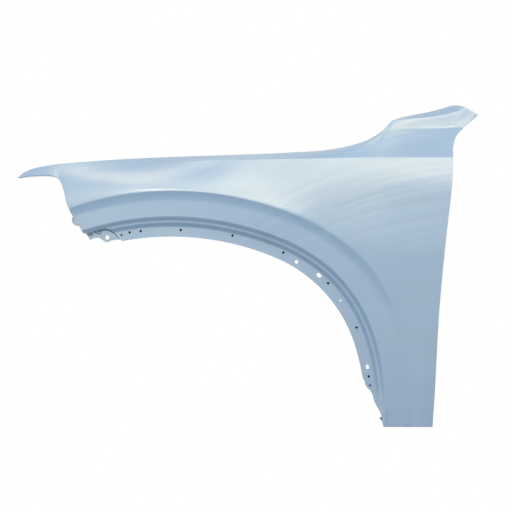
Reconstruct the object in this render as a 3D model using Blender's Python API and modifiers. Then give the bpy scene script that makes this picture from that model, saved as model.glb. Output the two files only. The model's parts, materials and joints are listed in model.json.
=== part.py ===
# Left front fender of a large off-road vehicle: one pressed steel panel with its
# folded lips, two small brackets behind its front edge, a clip at its foot, two
# rivets and eight screw nuts in the wheel-arch flange.
#
# Drawing plane: u runs to the rear of the vehicle and w runs up, both from the
# centre of the long arc of the wheel arch. Depth runs inboard from the outermost
# line of the panel. All three are in millimetres and become metres in place().
# The object's origin is the hood flange mount: +X to the rear, +Y inboard, +Z up.

import math

import bpy
import bmesh
from mathutils import Matrix, Vector

for old in list(bpy.data.objects):
    bpy.data.objects.remove(old, do_unlink=True)

# Sheet and assembly gaps
SHEET = 1.0
GAP = 0.3
BRACKET_SHEET = 1.2

# Wheel arch: three arcs that meet at TURN_1 and TURN_2, in degrees from straight up
ARC_1 = (-1.6, -21.2, 646.8)
TURN_1 = 22.6
RADIUS_2 = 338.4
TURN_2 = 73.8
RADIUS_3 = 605.5
FRONT_ANGLE = -18.95
FRONT_SKEW = 1.05
CORNER_ANGLE = 50.0
FOOT_W = 169.0

# Sections across the arch: distance out from the arch edge, and depth
FLANGE_DEPTH = 30.0
RIDGE_DEPTH = 19.0
BAND_DEPTH = 7.5
STEP_1 = (23.5, 35.5)
STEP_2 = (37.5, 49.0)
BAND_START = 50.5
FLANGE_OFFSETS = [0.0, 12.0, STEP_1[0], 26.5, 29.5, 32.5, STEP_1[1], STEP_2[0], 40.4, 43.2, 46.0,
                  STEP_2[1], BAND_START]
BAND_STEPS = [0.30, 0.60, 0.72, 0.83, 0.92, 1.0]

# The steps lie further out round the rear of the arch: angle, and how far
STEP_SHIFT = [(15.0, 0.0), (30.0, 1.2), (42.0, 3.2), (52.0, 4.0), (72.0, 3.4), (84.0, 2.0), (89.0, 0.0)]
CREASE_OFFSET = [(-19.0, 108.0), (0.0, 109.8), (19.6, 112.7), (40.0, 118.2), (50.3, 122.1),
                 (60.6, 119.1), (71.7, 113.3), (80.7, 107.7), (90.0, 102.5)]
FRONT_BULGE = [(0.0, 0.0), (0.15, -1.2), (0.40, 1.5), (0.66, 3.8), (0.80, 4.3), (0.93, 2.6), (1.0, 0.0)]
BODY_STEPS = [0.10, 0.24, 0.42, 0.60, 0.76, 0.89, 1.0]

# Plan view: the front half sweeps inboard, the foot tucks in
SWEEP_START = 90.0
SWEEP_RATE = 6.64e-4
TUCK_TOP = 400.0
TUCK_FOOT = 6.0

# Shoulder line from the front notch to the door corner
NOTCH = (-274.5, 765.8)
DOOR_CORNER = (675.6, 815.5)
SHOULDER = [NOTCH, (-194.9, 778.3), (-122.9, 788.6), (-26.9, 801.1), (69.1, 807.6),
            (213.1, 810.7), (357.1, 813.6), (520.0, 815.0), DOOR_CORNER]
SHOULDER_DEPTH = 38.0

# Side behind the wheel: a slow barrel above a line that falls to the rear, and a roll
# under the shoulder. The line starts at BARREL_OFFSET out from the arch edge.
SIDE_FROM = 240.0
SIDE_TO = 540.0
BARREL_FROM = 350.0
BARREL_OFFSET = 117.5
BARREL_FALL = 0.59
BARREL_RUN = 250.0
ROLL_HEIGHT = 90.0
ROLL_SHARE = 0.3

# Where the roll over the front wing gives way to the shoulder line
BLEND_FROM = -110.0
BLEND_TO = 240.0
DOOR_EDGE = [DOOR_CORNER, (674.3, 772.3), (670.3, 724.3), (663.2, 664.3), (650.3, 544.3),
             (641.1, 436.3), (636.3, 352.3), (630.7, 244.3), (625.6, FOOT_W)]

# Hood edge, then the crease under the cowl flange, then the end of the pillar horn
HOOD_EDGE = [(-274.1, 800.2), (-204.5, 805.9), (-108.5, 812.2), (6.7, 817.4), (160.3, 822.5),
             (275.5, 827.3), (352.3, 831.8), (390.7, 836.9), (429.1, 844.4), (467.5, 855.9),
             (486.7, 865.2), (505.9, 877.4), (517.4, 888.0), (526.1, 898.8), (532.8, 906.0)]
COWL_CREASE = [(532.8, 906.0), (553.0, 907.0), (604.3, 911.3), (645.1, 916.6), (665.8, 921.1),
               (684.2, 926.2), (696.0, 932.0), (705.4, 937.8)]
COWL_RISE = [(532.8, 0.0), (549.0, 4.6), (582.7, 9.2), (616.3, 12.4), (649.9, 16.3), (668.0, 17.6),
             (683.5, 15.4), (692.0, 10.5), (705.4, 0.0)]
HORN_TIP = (735.8, 918.8)
HORN_EDGE = [(DOOR_CORNER[1], DOOR_CORNER[0]), (834.7, 675.3), (847.9, 677.0), (863.0, 681.4),
             (876.5, 689.8), (887.5, 701.4), (897.6, 713.0), (912.0, 729.8),
             (HORN_TIP[1], HORN_TIP[0])]
KINK_DROP = 18.2
KINK_SLOPE = 0.75
HOOD_DEPTH = [(-370.0, 52.0), (-274.0, 60.0), (-123.0, 81.0), (0.0, 92.0), (160.0, 95.0),
              (350.0, 88.0), (450.0, 88.0), (533.0, 92.0), (704.0, 100.0), (735.0, 96.0)]

# Snout beside the headlamp
SNOUT_U = [NOTCH[0], -288.0, -305.0, -323.0, -340.0, -354.0, -363.0, -367.5]
SNOUT_TOP = [(-367.5, 770.9), (-363.0, 775.6), (-358.1, 778.8), (-343.7, 785.8), (-329.3, 790.8),
             (-300.5, 796.1), (-274.1, 800.2)]
SNOUT_UNDER = [(-367.5, 766.6), (-361.0, 765.6), (-350.0, 768.0), (-320.0, 768.2), (-290.9, 767.8),
               (-280.0, 767.2), NOTCH]

# Folded lips
HOOD_WALL = 18.0
HOOD_FLANGE = 22.0
FLANGE_LINE = (-108.5, 794.2, 0.04253)
FLAT_FROM = FLANGE_LINE[0]
FLAT_TO = 352.3
WALL_FADE = (400.0, 520.0)
DOOR_LIP = 14.0
FOOT_LIP = 20.0
FRONT_LIP = 11.0

# Columns along the panel
TOP_COLUMNS = 34
HOOD_COLUMNS = 27
COWL_COLUMNS = 6
SIDE_COLUMNS = 20
KINK_ROWS = 4
HORN_ROWS = 2

# Trim of the arch flange at the front, drawn from a point on the arch edge
FRONT_ANCHOR_ANGLE = -15.5
FRONT_TRIM = [(-40.1, 27.9), (-37.1, 32.5), (-28.9, 33.5), (-11.6, 36.8), (-0.6, 39.4), (10.5, 42.3),
              (17.0, 42.8), (23.4, 40.9), (31.6, 35.8), (37.1, 32.7), (41.7, 28.4), (45.5, 22.6),
              (50.1, 17.9), (53.4, 14.5), (55.9, 9.9), (55.9, -42.1), (-85.6, -42.1), (-85.6, 27.9)]

# Trim at the foot: distance behind the arch edge and height above the foot
TAIL_TRIM = [(-17.7, 119.5), (0.0, 119.5), (1.2, 115.0), (3.9, 109.5), (3.3, 102.0), (7.7, 94.5),
             (14.0, 87.3), (17.9, 80.1), (19.9, 71.5), (21.1, 62.0), (26.0, 51.3), (33.8, 36.9),
             (36.9, 28.0), (38.7, 14.5), (40.0, 7.0), (42.0, 1.6), (45.1, -1.0), (46.0, -19.0),
             (-24.7, -19.0)]

# Holes in the arch flange: angle round the arch and distance out from its edge
NUT_HOLE_R = 3.0
NUTS = [(-8.6, 17.6), (-6.3, 17.2), (2.0, 16.3), (12.8, 18.8), (25.0, 18.7), (45.9, 21.4), (66.2, 18.5)]
RIVET_HOLE_R = 1.9
OPEN_HOLES = [(31.2, 14.1, 4.2, 0.0), (41.3, 19.9, 4.2, 2.2), (54.1, 17.2, 2.4, 0.0)]

# Near the foot: distance behind the arch edge and height above the foot
TAIL_NUT = (15.4, 121.4)
TAIL_RIVET = (15.3, 100.0)
TAIL_SLOT = (16.5, 144.4, 3.6, 2.0)

# At the front: from the same point as the trim
FRONT_RIVET = (53.9, 27.7)
BRACKET_HOLE = (19.6, 21.4, 5.2)

# Origin: underside of the hood flange
MOUNT_U = 160.0
MOUNT_DEPTH = 108.0


def next_arc(arc, turn, radius):
    """The arc that leaves another one tangent to it at the turn angle."""
    a = math.radians(turn)
    step = arc[2] - radius
    return arc[0] + step * math.sin(a), arc[1] + step * math.cos(a), radius


ARC_2 = next_arc(ARC_1, TURN_1, RADIUS_2)
ARC_3 = next_arc(ARC_2, TURN_2, RADIUS_3)


def smooth(x, low, high):
    t = min(1.0, max(0.0, (x - low) / (high - low)))
    return t * t * (3.0 - 2.0 * t)


def table(points, x):
    """Straight-line interpolation of y over x."""
    if x <= points[0][0]:
        return points[0][1]
    for (x0, y0), (x1, y1) in zip(points, points[1:]):
        if x <= x1:
            return y0 + (y1 - y0) * (x - x0) / (x1 - x0)
    return points[-1][1]


def fair(points, x):
    """Smooth interpolation of y over x with limited slopes."""
    if x <= points[0][0]:
        return points[0][1]
    if x >= points[-1][0]:
        return points[-1][1]
    count = len(points)
    slopes = [(points[k + 1][1] - points[k][1]) / (points[k + 1][0] - points[k][0])
              for k in range(count - 1)]
    tangents = [slopes[0]]
    for k in range(1, count - 1):
        tangents.append(0.5 * (slopes[k - 1] + slopes[k]) if slopes[k - 1] * slopes[k] > 0 else 0.0)
    tangents.append(slopes[-1])
    for k in range(count - 1):
        x0, y0 = points[k]
        x1, y1 = points[k + 1]
        if x <= x1:
            h = x1 - x0
            t = (x - x0) / h
            return (y0 * (1 + 2 * t) * (1 - t) ** 2 + h * tangents[k] * t * (1 - t) ** 2
                    + y1 * t * t * (3 - 2 * t) - h * tangents[k + 1] * t * t * (1 - t))
    return points[-1][1]


def rounded_path(points, steps):
    """Points of a smooth curve through the given points."""
    out = []
    for k in range(len(points) - 1):
        p0 = Vector(points[max(k - 1, 0)])
        p1 = Vector(points[k])
        p2 = Vector(points[k + 1])
        p3 = Vector(points[min(k + 2, len(points) - 1)])
        for s in range(steps):
            t = s / steps
            out.append(0.5 * (2 * p1 + (p2 - p0) * t + (2 * p0 - 5 * p1 + 4 * p2 - p3) * t * t
                              + (3 * p1 - p0 - 3 * p2 + p3) * t ** 3))
    out.append(Vector(points[-1]))
    return out


def share_out(path, count, grade=1.0):
    """Points along a path, both ends included; a grade over 1 packs them at its end."""
    lengths = [0.0]
    for a, b in zip(path, path[1:]):
        lengths.append(lengths[-1] + (b - a).length)
    out = []
    k = 0
    for n in range(count + 1):
        goal = lengths[-1] * (1.0 - (1.0 - n / count) ** grade)
        while k < len(path) - 2 and lengths[k + 1] < goal:
            k += 1
        span = lengths[k + 1] - lengths[k]
        out.append(path[k].lerp(path[k + 1], (goal - lengths[k]) / span))
    return out


def sweep(u):
    return SWEEP_RATE * max(0.0, SWEEP_START - u) ** 2


def sweep_slope(u):
    return -2.0 * SWEEP_RATE * max(0.0, SWEEP_START - u)


def tuck(w):
    return TUCK_FOOT * (max(0.0, TUCK_TOP - w) / (TUCK_TOP - FOOT_W)) ** 2


def crisp(angle):
    return 1.0 - 0.85 * smooth(angle, 48.0, 80.0)


def arch_angles():
    """Section angles from the front edge to the foot, closer on the small arcs."""
    length_1 = math.radians(TURN_1 - FRONT_ANGLE) * ARC_1[2]
    length_2 = math.radians(CORNER_ANGLE - TURN_1) * ARC_2[2]
    angles = []
    for n in range(TOP_COLUMNS + 1):
        run = (length_1 + length_2) * n / TOP_COLUMNS
        if run <= length_1:
            angles.append(FRONT_ANGLE + math.degrees(run / ARC_1[2]))
        else:
            angles.append(TURN_1 + math.degrees((run - length_1) / ARC_2[2]))
    length_2 = math.radians(TURN_2 - CORNER_ANGLE) * ARC_2[2]
    length_3 = math.radians(90.0 - TURN_2) * ARC_3[2]
    length_4 = ARC_3[1] - FOOT_W
    total = length_2 + length_3 + length_4
    for n in range(1, SIDE_COLUMNS + 1):
        run = total * n / SIDE_COLUMNS
        if run <= length_2:
            angles.append(CORNER_ANGLE + math.degrees(run / ARC_2[2]))
        elif run <= length_2 + length_3:
            angles.append(TURN_2 + math.degrees((run - length_2) / ARC_3[2]))
        else:
            angles.append(90.0 + (run - length_2 - length_3) / 10.0)
    return angles


def arch_point(angle, offset, column):
    """Point at a distance outside the arch edge; angles past 90 run straight down."""
    if angle > 90.0:
        drop = (angle - 90.0) * 10.0
        bow = ARC_3[2] - math.sqrt(ARC_3[2] ** 2 - drop ** 2)
        return ARC_3[0] + ARC_3[2] + offset - bow, ARC_3[1] - drop
    if angle <= TURN_1:
        skew = FRONT_SKEW * min(1.0, max(0.0, (100.0 - offset) / 56.0)) * max(0.0, 1.0 - column / 5.0)
        cu, cw, radius = ARC_1
        a = math.radians(angle + skew)
    else:
        cu, cw, radius = ARC_2 if angle <= TURN_2 else ARC_3
        a = math.radians(angle)
    return cu + (radius + offset) * math.sin(a), cw + (radius + offset) * math.cos(a)


def tail_point(offset, rise):
    """Point behind the arch edge at a height above the foot."""
    w = FOOT_W + rise
    return ARC_3[0] + math.sqrt(ARC_3[2] ** 2 - (w - ARC_3[1]) ** 2) + offset, w


def tail_angle(rise):
    return 90.0 - math.degrees(math.asin((FOOT_W + rise - ARC_3[1]) / ARC_3[2]))


def front_point(du, dw):
    """Point drawn from the anchor on the arch edge at the front."""
    u, w = arch_point(FRONT_ANCHOR_ANGLE, 0.0, TOP_COLUMNS)
    return u + du, w + dw


def hood_roll(t_from_crease, hood_depth):
    return hood_depth * t_from_crease ** 1.9


def barrel_base(u):
    """Height where the barrel of the side begins."""
    cu, cw, radius = ARC_2
    start = cw + math.sqrt((radius + BARREL_OFFSET) ** 2 - (BARREL_FROM - cu) ** 2)
    run = min(BARREL_RUN, u - BARREL_FROM)
    return start - BARREL_FALL * (run - 0.5 * run * run / BARREL_RUN)


def side_depth(u, w):
    """Depth of the side behind the wheel as a share of the shoulder's depth."""
    top = fair(SHOULDER, u)
    base = barrel_base(max(u, BARREL_FROM - 150.0))
    barrel = max(0.0, (w - base) / (top - base)) ** 1.3
    roll = max(0.0, (w - top + ROLL_HEIGHT) / ROLL_HEIGHT) ** 2
    return (1.0 - ROLL_SHARE) * barrel + ROLL_SHARE * roll


def flange_height(u, w_edge):
    """Height of the hood flange's upper face under a hood edge at w_edge."""
    if FLAT_FROM <= u <= FLAT_TO:
        return FLANGE_LINE[1] + FLANGE_LINE[2] * (u - FLANGE_LINE[0])
    if u < FLAT_FROM:
        room = 0.45 * (w_edge - fair(SNOUT_UNDER if u < NOTCH[0] else SHOULDER, u))
        return w_edge - min(HOOD_WALL, max(2.0, room))
    return w_edge - HOOD_WALL * (1.0 - smooth(u, *WALL_FADE))


ORIGIN_W = FLANGE_LINE[1] + FLANGE_LINE[2] * (MOUNT_U - FLANGE_LINE[0]) - SHEET


def place(u, depth, w):
    return Vector(((u - MOUNT_U) * 0.001, (depth - MOUNT_DEPTH) * 0.001, (w - ORIGIN_W) * 0.001))


def build_panel():
    angles = arch_angles()
    columns = len(angles)
    points = {}

    # Arch flange, ridge and band up to the crease
    band_rows = len(FLANGE_OFFSETS) + len(BAND_STEPS)
    for i, angle in enumerate(angles):
        crease = table(CREASE_OFFSET, min(angle, 92.0))
        c = crisp(angle)
        shift = table(STEP_SHIFT, min(max(angle, STEP_SHIFT[0][0]), STEP_SHIFT[-1][0]))
        for j in range(band_rows):
            if j < len(FLANGE_OFFSETS):
                offset = FLANGE_OFFSETS[j]
                rel = FLANGE_DEPTH + (RIDGE_DEPTH - FLANGE_DEPTH) * smooth(offset, *STEP_1)
                rel += (BAND_DEPTH - RIDGE_DEPTH) * smooth(offset, *STEP_2)
                share = smooth(offset, 44.0, 50.0)
                offset += shift * smooth(offset, 12.0, STEP_1[0])
            else:
                q = BAND_STEPS[j - len(FLANGE_OFFSETS)]
                offset = BAND_START + shift + (crease - BAND_START - shift) * q
                hard = BAND_DEPTH * (1.0 - 0.2 * q - 0.8 * max(0.0, (q - 0.6) / 0.4) ** 2)
                soft = BAND_DEPTH - (BAND_DEPTH - 4.0) * math.sin(q * math.pi / 2.0)
                rel = c * hard + (1.0 - c) * soft
                share = 1.0
            u, w = arch_point(angle, offset, i)
            points[("arch", i, j)] = (u, sweep(u) + rel + share * tuck(w), w)
    last = band_rows - 1
    crease_line = [points[("arch", i, last)] for i in range(columns)]

    # Shoulder line and door edge, one point for each column
    span = crease_line[TOP_COLUMNS][0] - crease_line[0][0]
    edge = []
    for i in range(columns):
        if i <= TOP_COLUMNS:
            share = (crease_line[i][0] - crease_line[0][0]) / span
            u = SHOULDER[0][0] + (SHOULDER[-1][0] - SHOULDER[0][0]) * share
            edge.append((u, fair(SHOULDER, u)))
        else:
            share = ((crease_line[i][2] - FOOT_W) / (crease_line[TOP_COLUMNS][2] - FOOT_W))
            w = FOOT_W + (SHOULDER[-1][1] - FOOT_W) * share
            edge.append((fair([(b, a) for a, b in reversed(DOOR_EDGE)], w), w))

    # Hood edge, cowl crease and horn tip, one point for each top column
    top = share_out(rounded_path(HOOD_EDGE, 6), HOOD_COLUMNS, 1.25)
    top = top + share_out(rounded_path(COWL_CREASE, 6), COWL_COLUMNS)[1:]
    top.append(Vector(HORN_TIP))

    # Body from the crease to the shoulder line
    roll_at_notch = 0.0
    for i in range(columns):
        cu, cd, cw = crease_line[i]
        eu, ew = edge[i]
        c = crisp(angles[i])
        for j, t in enumerate(BODY_STEPS):
            u = cu + (eu - cu) * t
            w = cw + (ew - cw) * t
            if i < 5:
                u += fair(FRONT_BULGE, t) * (1.0 - i / 5.0)
            flare = 0.8 * t + 0.2 * (1.0 - (1.0 - t) ** 4)
            side = smooth(u, SIDE_FROM, SIDE_TO)
            if side > 0.0:
                flare = (1.0 - side) * flare + side * side_depth(u, w)
            rel = SHOULDER_DEPTH * flare + (1.0 - c) * 4.0 * (1.0 - smooth(t, 0.0, 0.6))
            if i <= TOP_COLUMNS:
                k = smooth(u, BLEND_FROM, BLEND_TO)
                rise = (w - cw) / (top[i][1] - cw)
                rel = k * rel + (1.0 - k) * hood_roll(rise, table(HOOD_DEPTH, top[i][0]))
            points[("body", i, j)] = (u, sweep(u) + rel + tuck(w), w)
            if i == 0 and t == 1.0:
                roll_at_notch = (w - cw) / (top[i][1] - cw)

    # Shelf above the shoulder line, with the kink under the cowl crease
    def horn_u(w):
        return fair(HORN_EDGE, w)

    upper_rows = KINK_ROWS + HORN_ROWS
    edge_row = len(BODY_STEPS) - 1
    for i in range(TOP_COLUMNS + 1):
        su, sd, sw = points[("body", i, edge_row)]
        hu, hw = top[i]
        drop = KINK_DROP * (hw - sw) / (HOOD_EDGE[-1][1] - DOOR_CORNER[1])
        drop += KINK_SLOPE * max(0.0, hw - HOOD_EDGE[-1][1])
        kink_t = 1.0 - drop / (hw - sw)
        cw = crease_line[i][2]
        hood = table(HOOD_DEPTH, hu)
        kink_share = 0.8 + 0.085 * smooth(hu, HOOD_EDGE[-3][0], COWL_CREASE[2][0])
        for j in range(1, upper_rows + 1):
            if j <= KINK_ROWS:
                t = kink_t * j / KINK_ROWS
                g = kink_share * (t / kink_t)
                g += 0.02 * math.sin(math.pi * t / kink_t)
            else:
                t = kink_t + (1.0 - kink_t) * (j - KINK_ROWS) / HORN_ROWS
                g = kink_share + (1.0 - kink_share) * (t - kink_t) / (1.0 - kink_t)
            u = su + (hu - su) * t
            w = sw + (hw - sw) * t
            climb = (w - DOOR_CORNER[1]) / (HORN_TIP[1] - DOOR_CORNER[1])
            line = DOOR_CORNER[0] + (HORN_TIP[0] - DOOR_CORNER[0]) * climb
            if 0.0 < climb < 1.0:
                u += (horn_u(w) - line) * (i / TOP_COLUMNS) ** 6
            rear = SHOULDER_DEPTH + (hood - SHOULDER_DEPTH) * g
            rise = (w - cw) / (hw - cw)
            k = smooth(u, BLEND_FROM, BLEND_TO)
            rel = k * rear + (1.0 - k) * hood_roll(rise, hood)
            points[("body", i, edge_row + j)] = (u, sweep(u) + rel, w)
    top_row = edge_row + upper_rows

    # Snout columns run forward from the first top column
    for s, u in enumerate(SNOUT_U):
        if s == 0:
            continue
        low = fair(SNOUT_UNDER, u)
        high = fair(SNOUT_TOP, u)
        start = roll_at_notch + (0.92 - roll_at_notch) * s / (len(SNOUT_U) - 1)
        for j in range(upper_rows + 1):
            t0 = (points[("body", 0, edge_row + j)][2] - points[("body", 0, edge_row)][2])
            t = t0 / (points[("body", 0, top_row)][2] - points[("body", 0, edge_row)][2])
            w = low + (high - low) * t
            rel = hood_roll(start + (1.0 - start) * t, table(HOOD_DEPTH, u))
            points[("snout", s, j)] = (u, sweep(u) + rel, w)

    # Hood flange: a wall down from the edge, then a flat shelf inboard
    def hood_lip(u, depth, w):
        height = flange_height(u, w)
        width = HOOD_FLANGE * (1.0 - 0.6 * smooth(-u, 280.0, 367.0))
        return (u, depth + 2.0, height), (u, depth + 2.0 + width, height)

    for s in range(1, len(SNOUT_U)):
        a, b = hood_lip(*points[("snout", s, upper_rows)])
        points[("snout", s, upper_rows + 1)] = a
        points[("snout", s, upper_rows + 2)] = b
    for i in range(TOP_COLUMNS + 1):
        u, depth, w = points[("body", i, top_row)]
        if i <= HOOD_COLUMNS:
            a, b = hood_lip(u, depth, w)
        else:
            rise = table(COWL_RISE, u) if i < TOP_COLUMNS else 0.0
            a = (u, depth + 12.0, w + 0.55 * rise)
            b = (u, depth + 24.0, w + rise)
        points[("body", i, top_row + 1)] = a
        points[("body", i, top_row + 2)] = b

    # Door and horn lips
    for i in range(TOP_COLUMNS, columns):
        u, depth, w = points[("body", i, edge_row)]
        points[("door", i)] = (u - 0.8, depth + DOOR_LIP, w)
    for j in range(1, upper_rows + 1):
        u, depth, w = points[("body", TOP_COLUMNS, edge_row + j)]
        points[("horn", j)] = (u - 0.5, depth + DOOR_LIP, w + 0.3)
    points[("horn", 0)] = points[("door", TOP_COLUMNS)]

    # Foot lip from the band to the door edge
    foot = columns - 1
    band_from = len(FLANGE_OFFSETS) - 1
    for j in range(band_from, band_rows):
        u, depth, w = points[("arch", foot, j)]
        points[("foot", j)] = (u, depth + FOOT_LIP, w)
    for j in range(len(BODY_STEPS)):
        u, depth, w = points[("body", foot, j)]
        points[("foot", band_rows + j)] = (u, depth + FOOT_LIP, w)

    # Front edge lip above the crease, and the lip under the snout
    u, depth, w = points[("arch", 0, last)]
    points[("front", last)] = (u + 0.5, depth + FRONT_LIP, w)
    for j in range(len(BODY_STEPS)):
        u, depth, w = points[("body", 0, j)]
        points[("front", band_rows + j)] = (u + 0.5, depth + FRONT_LIP, w + 0.3)
    points[("under", 0)] = points[("front", band_rows + edge_row)]
    for s in range(1, len(SNOUT_U)):
        u, depth, w = points[("snout", s, 0)]
        points[("under", s)] = (u, depth + FRONT_LIP * (1.0 - 0.5 * s / len(SNOUT_U)), w + 0.5)

    mesh = bmesh.new()
    verts = {}

    def v(key):
        if key not in verts:
            verts[key] = mesh.verts.new(place(*points[key]))
        return verts[key]

    verts_shared = {}
    for i in range(columns):
        verts_shared[("body", i, -1)] = ("arch", i, last)

    def body(i, j):
        return v(verts_shared.get(("body", i, j), ("body", i, j)))

    def snout(s, j):
        return body(0, edge_row + j) if s == 0 else v(("snout", s, j))

    def quad(a, b, c, d):
        ring = []
        for item in (a, b, c, d):
            if item not in ring:
                ring.append(item)
        if len(ring) > 2:
            mesh.faces.new(ring)

    for i in range(columns - 1):
        for j in range(last):
            quad(v(("arch", i, j)), v(("arch", i + 1, j)), v(("arch", i + 1, j + 1)), v(("arch", i, j + 1)))
        for j in range(-1, edge_row):
            quad(body(i, j), body(i + 1, j), body(i + 1, j + 1), body(i, j + 1))
    for i in range(TOP_COLUMNS):
        for j in range(edge_row, top_row + 2):
            quad(body(i, j), body(i + 1, j), body(i + 1, j + 1), body(i, j + 1))
    for s in range(len(SNOUT_U) - 1):
        for j in range(upper_rows + 2):
            quad(snout(s + 1, j), snout(s, j), snout(s, j + 1), snout(s + 1, j + 1))
        quad(v(("under", s + 1)), v(("under", s)), snout(s, 0), snout(s + 1, 0))
    for i in range(TOP_COLUMNS, columns - 1):
        quad(body(i, edge_row), body(i + 1, edge_row), v(("door", i + 1)), v(("door", i)))
    for j in range(upper_rows):
        low = v(("door", TOP_COLUMNS)) if j == 0 else v(("horn", j))
        quad(low, v(("horn", j + 1)), body(TOP_COLUMNS, edge_row + j + 1), body(TOP_COLUMNS, edge_row + j))

    def foot_row(j):
        return v(("arch", foot, j)) if j < band_rows else body(foot, j - band_rows)

    def front_row(j):
        return v(("arch", 0, j)) if j < band_rows else body(0, j - band_rows)

    for j in range(band_from, band_rows + edge_row):
        quad(foot_row(j), v(("foot", j)), v(("foot", j + 1)), foot_row(j + 1))
        if j < last:
            continue
        upper_key = ("front", j + 1)
        upper_front = v(("under", 0)) if j + 1 == band_rows + edge_row else v(upper_key)
        quad(v(("front", j)), front_row(j), front_row(j + 1), upper_front)
    return mesh, points


def to_object(name, mesh, open_sheet=False):
    bmesh.ops.recalc_face_normals(mesh, faces=mesh.faces)
    if open_sheet and sum(face.normal.y * face.calc_area() for face in mesh.faces) > 0.0:
        bmesh.ops.reverse_faces(mesh, faces=mesh.faces)
    data = bpy.data.meshes.new(name)
    mesh.to_mesh(data)
    mesh.free()
    made = bpy.data.objects.new(name, data)
    bpy.context.scene.collection.objects.link(made)
    return made


def flange_frame(u, w, depth):
    """Axes on the arch flange: x along it, z inboard through it."""
    slope = sweep_slope(u)
    along = Vector((1.0, slope, 0.0)).normalized()
    inboard = Vector((-slope, 1.0, 0.0)).normalized()
    frame = Matrix.Identity(4)
    frame.col[0] = along.to_4d()
    frame.col[0][3] = 0.0
    frame.col[1] = (0.0, 0.0, -1.0, 0.0)
    frame.col[2] = inboard.to_4d()
    frame.col[2][3] = 0.0
    frame.col[3] = place(u, sweep(u) + depth, w).to_4d()
    return frame


def add_prism(mesh, outline, frame, low, high):
    """Closed prism of a flat outline, in millimetres, between two heights."""
    rings = []
    for height in (low, high):
        rings.append([mesh.verts.new(frame @ Vector((x * 0.001, y * 0.001, height * 0.001)))
                      for x, y in outline])
    mesh.faces.new(rings[0])
    mesh.faces.new(rings[1])
    count = len(outline)
    for k in range(count):
        mesh.faces.new((rings[0][k], rings[0][(k + 1) % count], rings[1][(k + 1) % count], rings[1][k]))


def add_lathe(mesh, profile, frame, segments):
    """Closed turned solid: profile points are (radius, height), ends on the axis."""
    rings = []
    for radius, height in profile:
        if radius == 0.0:
            rings.append([mesh.verts.new(frame @ Vector((0.0, 0.0, height * 0.001)))])
            continue
        ring = []
        for k in range(segments):
            a = 2.0 * math.pi * k / segments
            spot = Vector((radius * math.cos(a) * 0.001, radius * math.sin(a) * 0.001, height * 0.001))
            ring.append(mesh.verts.new(frame @ spot))
        rings.append(ring)
    for lower, upper in zip(rings, rings[1:]):
        for k in range(segments):
            n = (k + 1) % segments
            if len(lower) == 1:
                mesh.faces.new((lower[0], upper[n], upper[k]))
            elif len(upper) == 1:
                mesh.faces.new((lower[k], lower[n], upper[0]))
            else:
                mesh.faces.new((lower[k], lower[n], upper[n], upper[k]))


def round_outline(radius, half_length, angle, segments):
    """Circle, or a slot when half_length is over zero, turned by angle in degrees."""
    turn = Matrix.Rotation(math.radians(angle), 2)
    out = []
    for k in range(segments):
        a = 2.0 * math.pi * (k + 0.5) / segments
        shift = half_length if math.cos(a) > 0.0 else -half_length
        spot = turn @ Vector((radius * math.cos(a) + shift, radius * math.sin(a)))
        out.append((spot.x, spot.y))
    return out


def view_frame():
    """Axes for outlines drawn in the u, w plane, with height running inboard."""
    frame = Matrix.Identity(4)
    frame.col[1] = (0.0, 0.0, 1.0, 0.0)
    frame.col[2] = (0.0, 1.0, 0.0, 0.0)
    frame.col[3] = place(0.0, 0.0, 0.0).to_4d()
    return frame


def make_cutter(name, fill):
    mesh = bmesh.new()
    fill(mesh)
    tool = to_object(name, mesh)
    tool.hide_render = True
    tool.display_type = "WIRE"
    return tool


def cut(target, tool, operation="DIFFERENCE"):
    step = target.modifiers.new(tool.name, "BOOLEAN")
    step.operation = operation
    step.solver = "EXACT"
    step.object = tool


def curved_plate(name, outline, thickness, depth_at, u_range, w_range, grid):
    """Sheet that follows depth_at(u, w), trimmed to an outline."""
    mesh = bmesh.new()
    across, up = grid
    rows = []
    for j in range(up + 1):
        w = w_range[0] + (w_range[1] - w_range[0]) * j / up
        row = []
        for i in range(across + 1):
            u = u_range[0] + (u_range[1] - u_range[0]) * i / across
            row.append(mesh.verts.new(place(u, depth_at(u, w), w)))
        rows.append(row)
    for j in range(up):
        for i in range(across):
            mesh.faces.new((rows[j][i], rows[j][i + 1], rows[j + 1][i + 1], rows[j + 1][i]))
    plate = to_object(name, mesh, open_sheet=True)
    step = plate.modifiers.new("sheet", "SOLIDIFY")
    step.thickness = thickness * 0.001
    step.offset = -1.0
    step.use_even_offset = True
    tool = make_cutter(name + "_outline", lambda m: add_prism(m, outline, view_frame(), -50.0, 250.0))
    cut(plate, tool, "INTERSECT")
    return plate


# The pressed panel
panel_mesh, panel_points = build_panel()
panel = to_object("fender_panel", panel_mesh, open_sheet=True)
sheet = panel.modifiers.new("sheet", "SOLIDIFY")
sheet.thickness = SHEET * 0.001
sheet.offset = -1.0
sheet.use_even_offset = True
sheet.use_rim = True

nut_spots = [arch_point(angle, offset, TOP_COLUMNS) for angle, offset in NUTS]
nut_spots.append(tail_point(*TAIL_NUT))
rivet_spots = [front_point(*FRONT_RIVET), tail_point(*TAIL_RIVET)]
front_trim = [front_point(*spot) for spot in FRONT_TRIM]
tail_trim = [tail_point(*spot) for spot in TAIL_TRIM]


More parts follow.
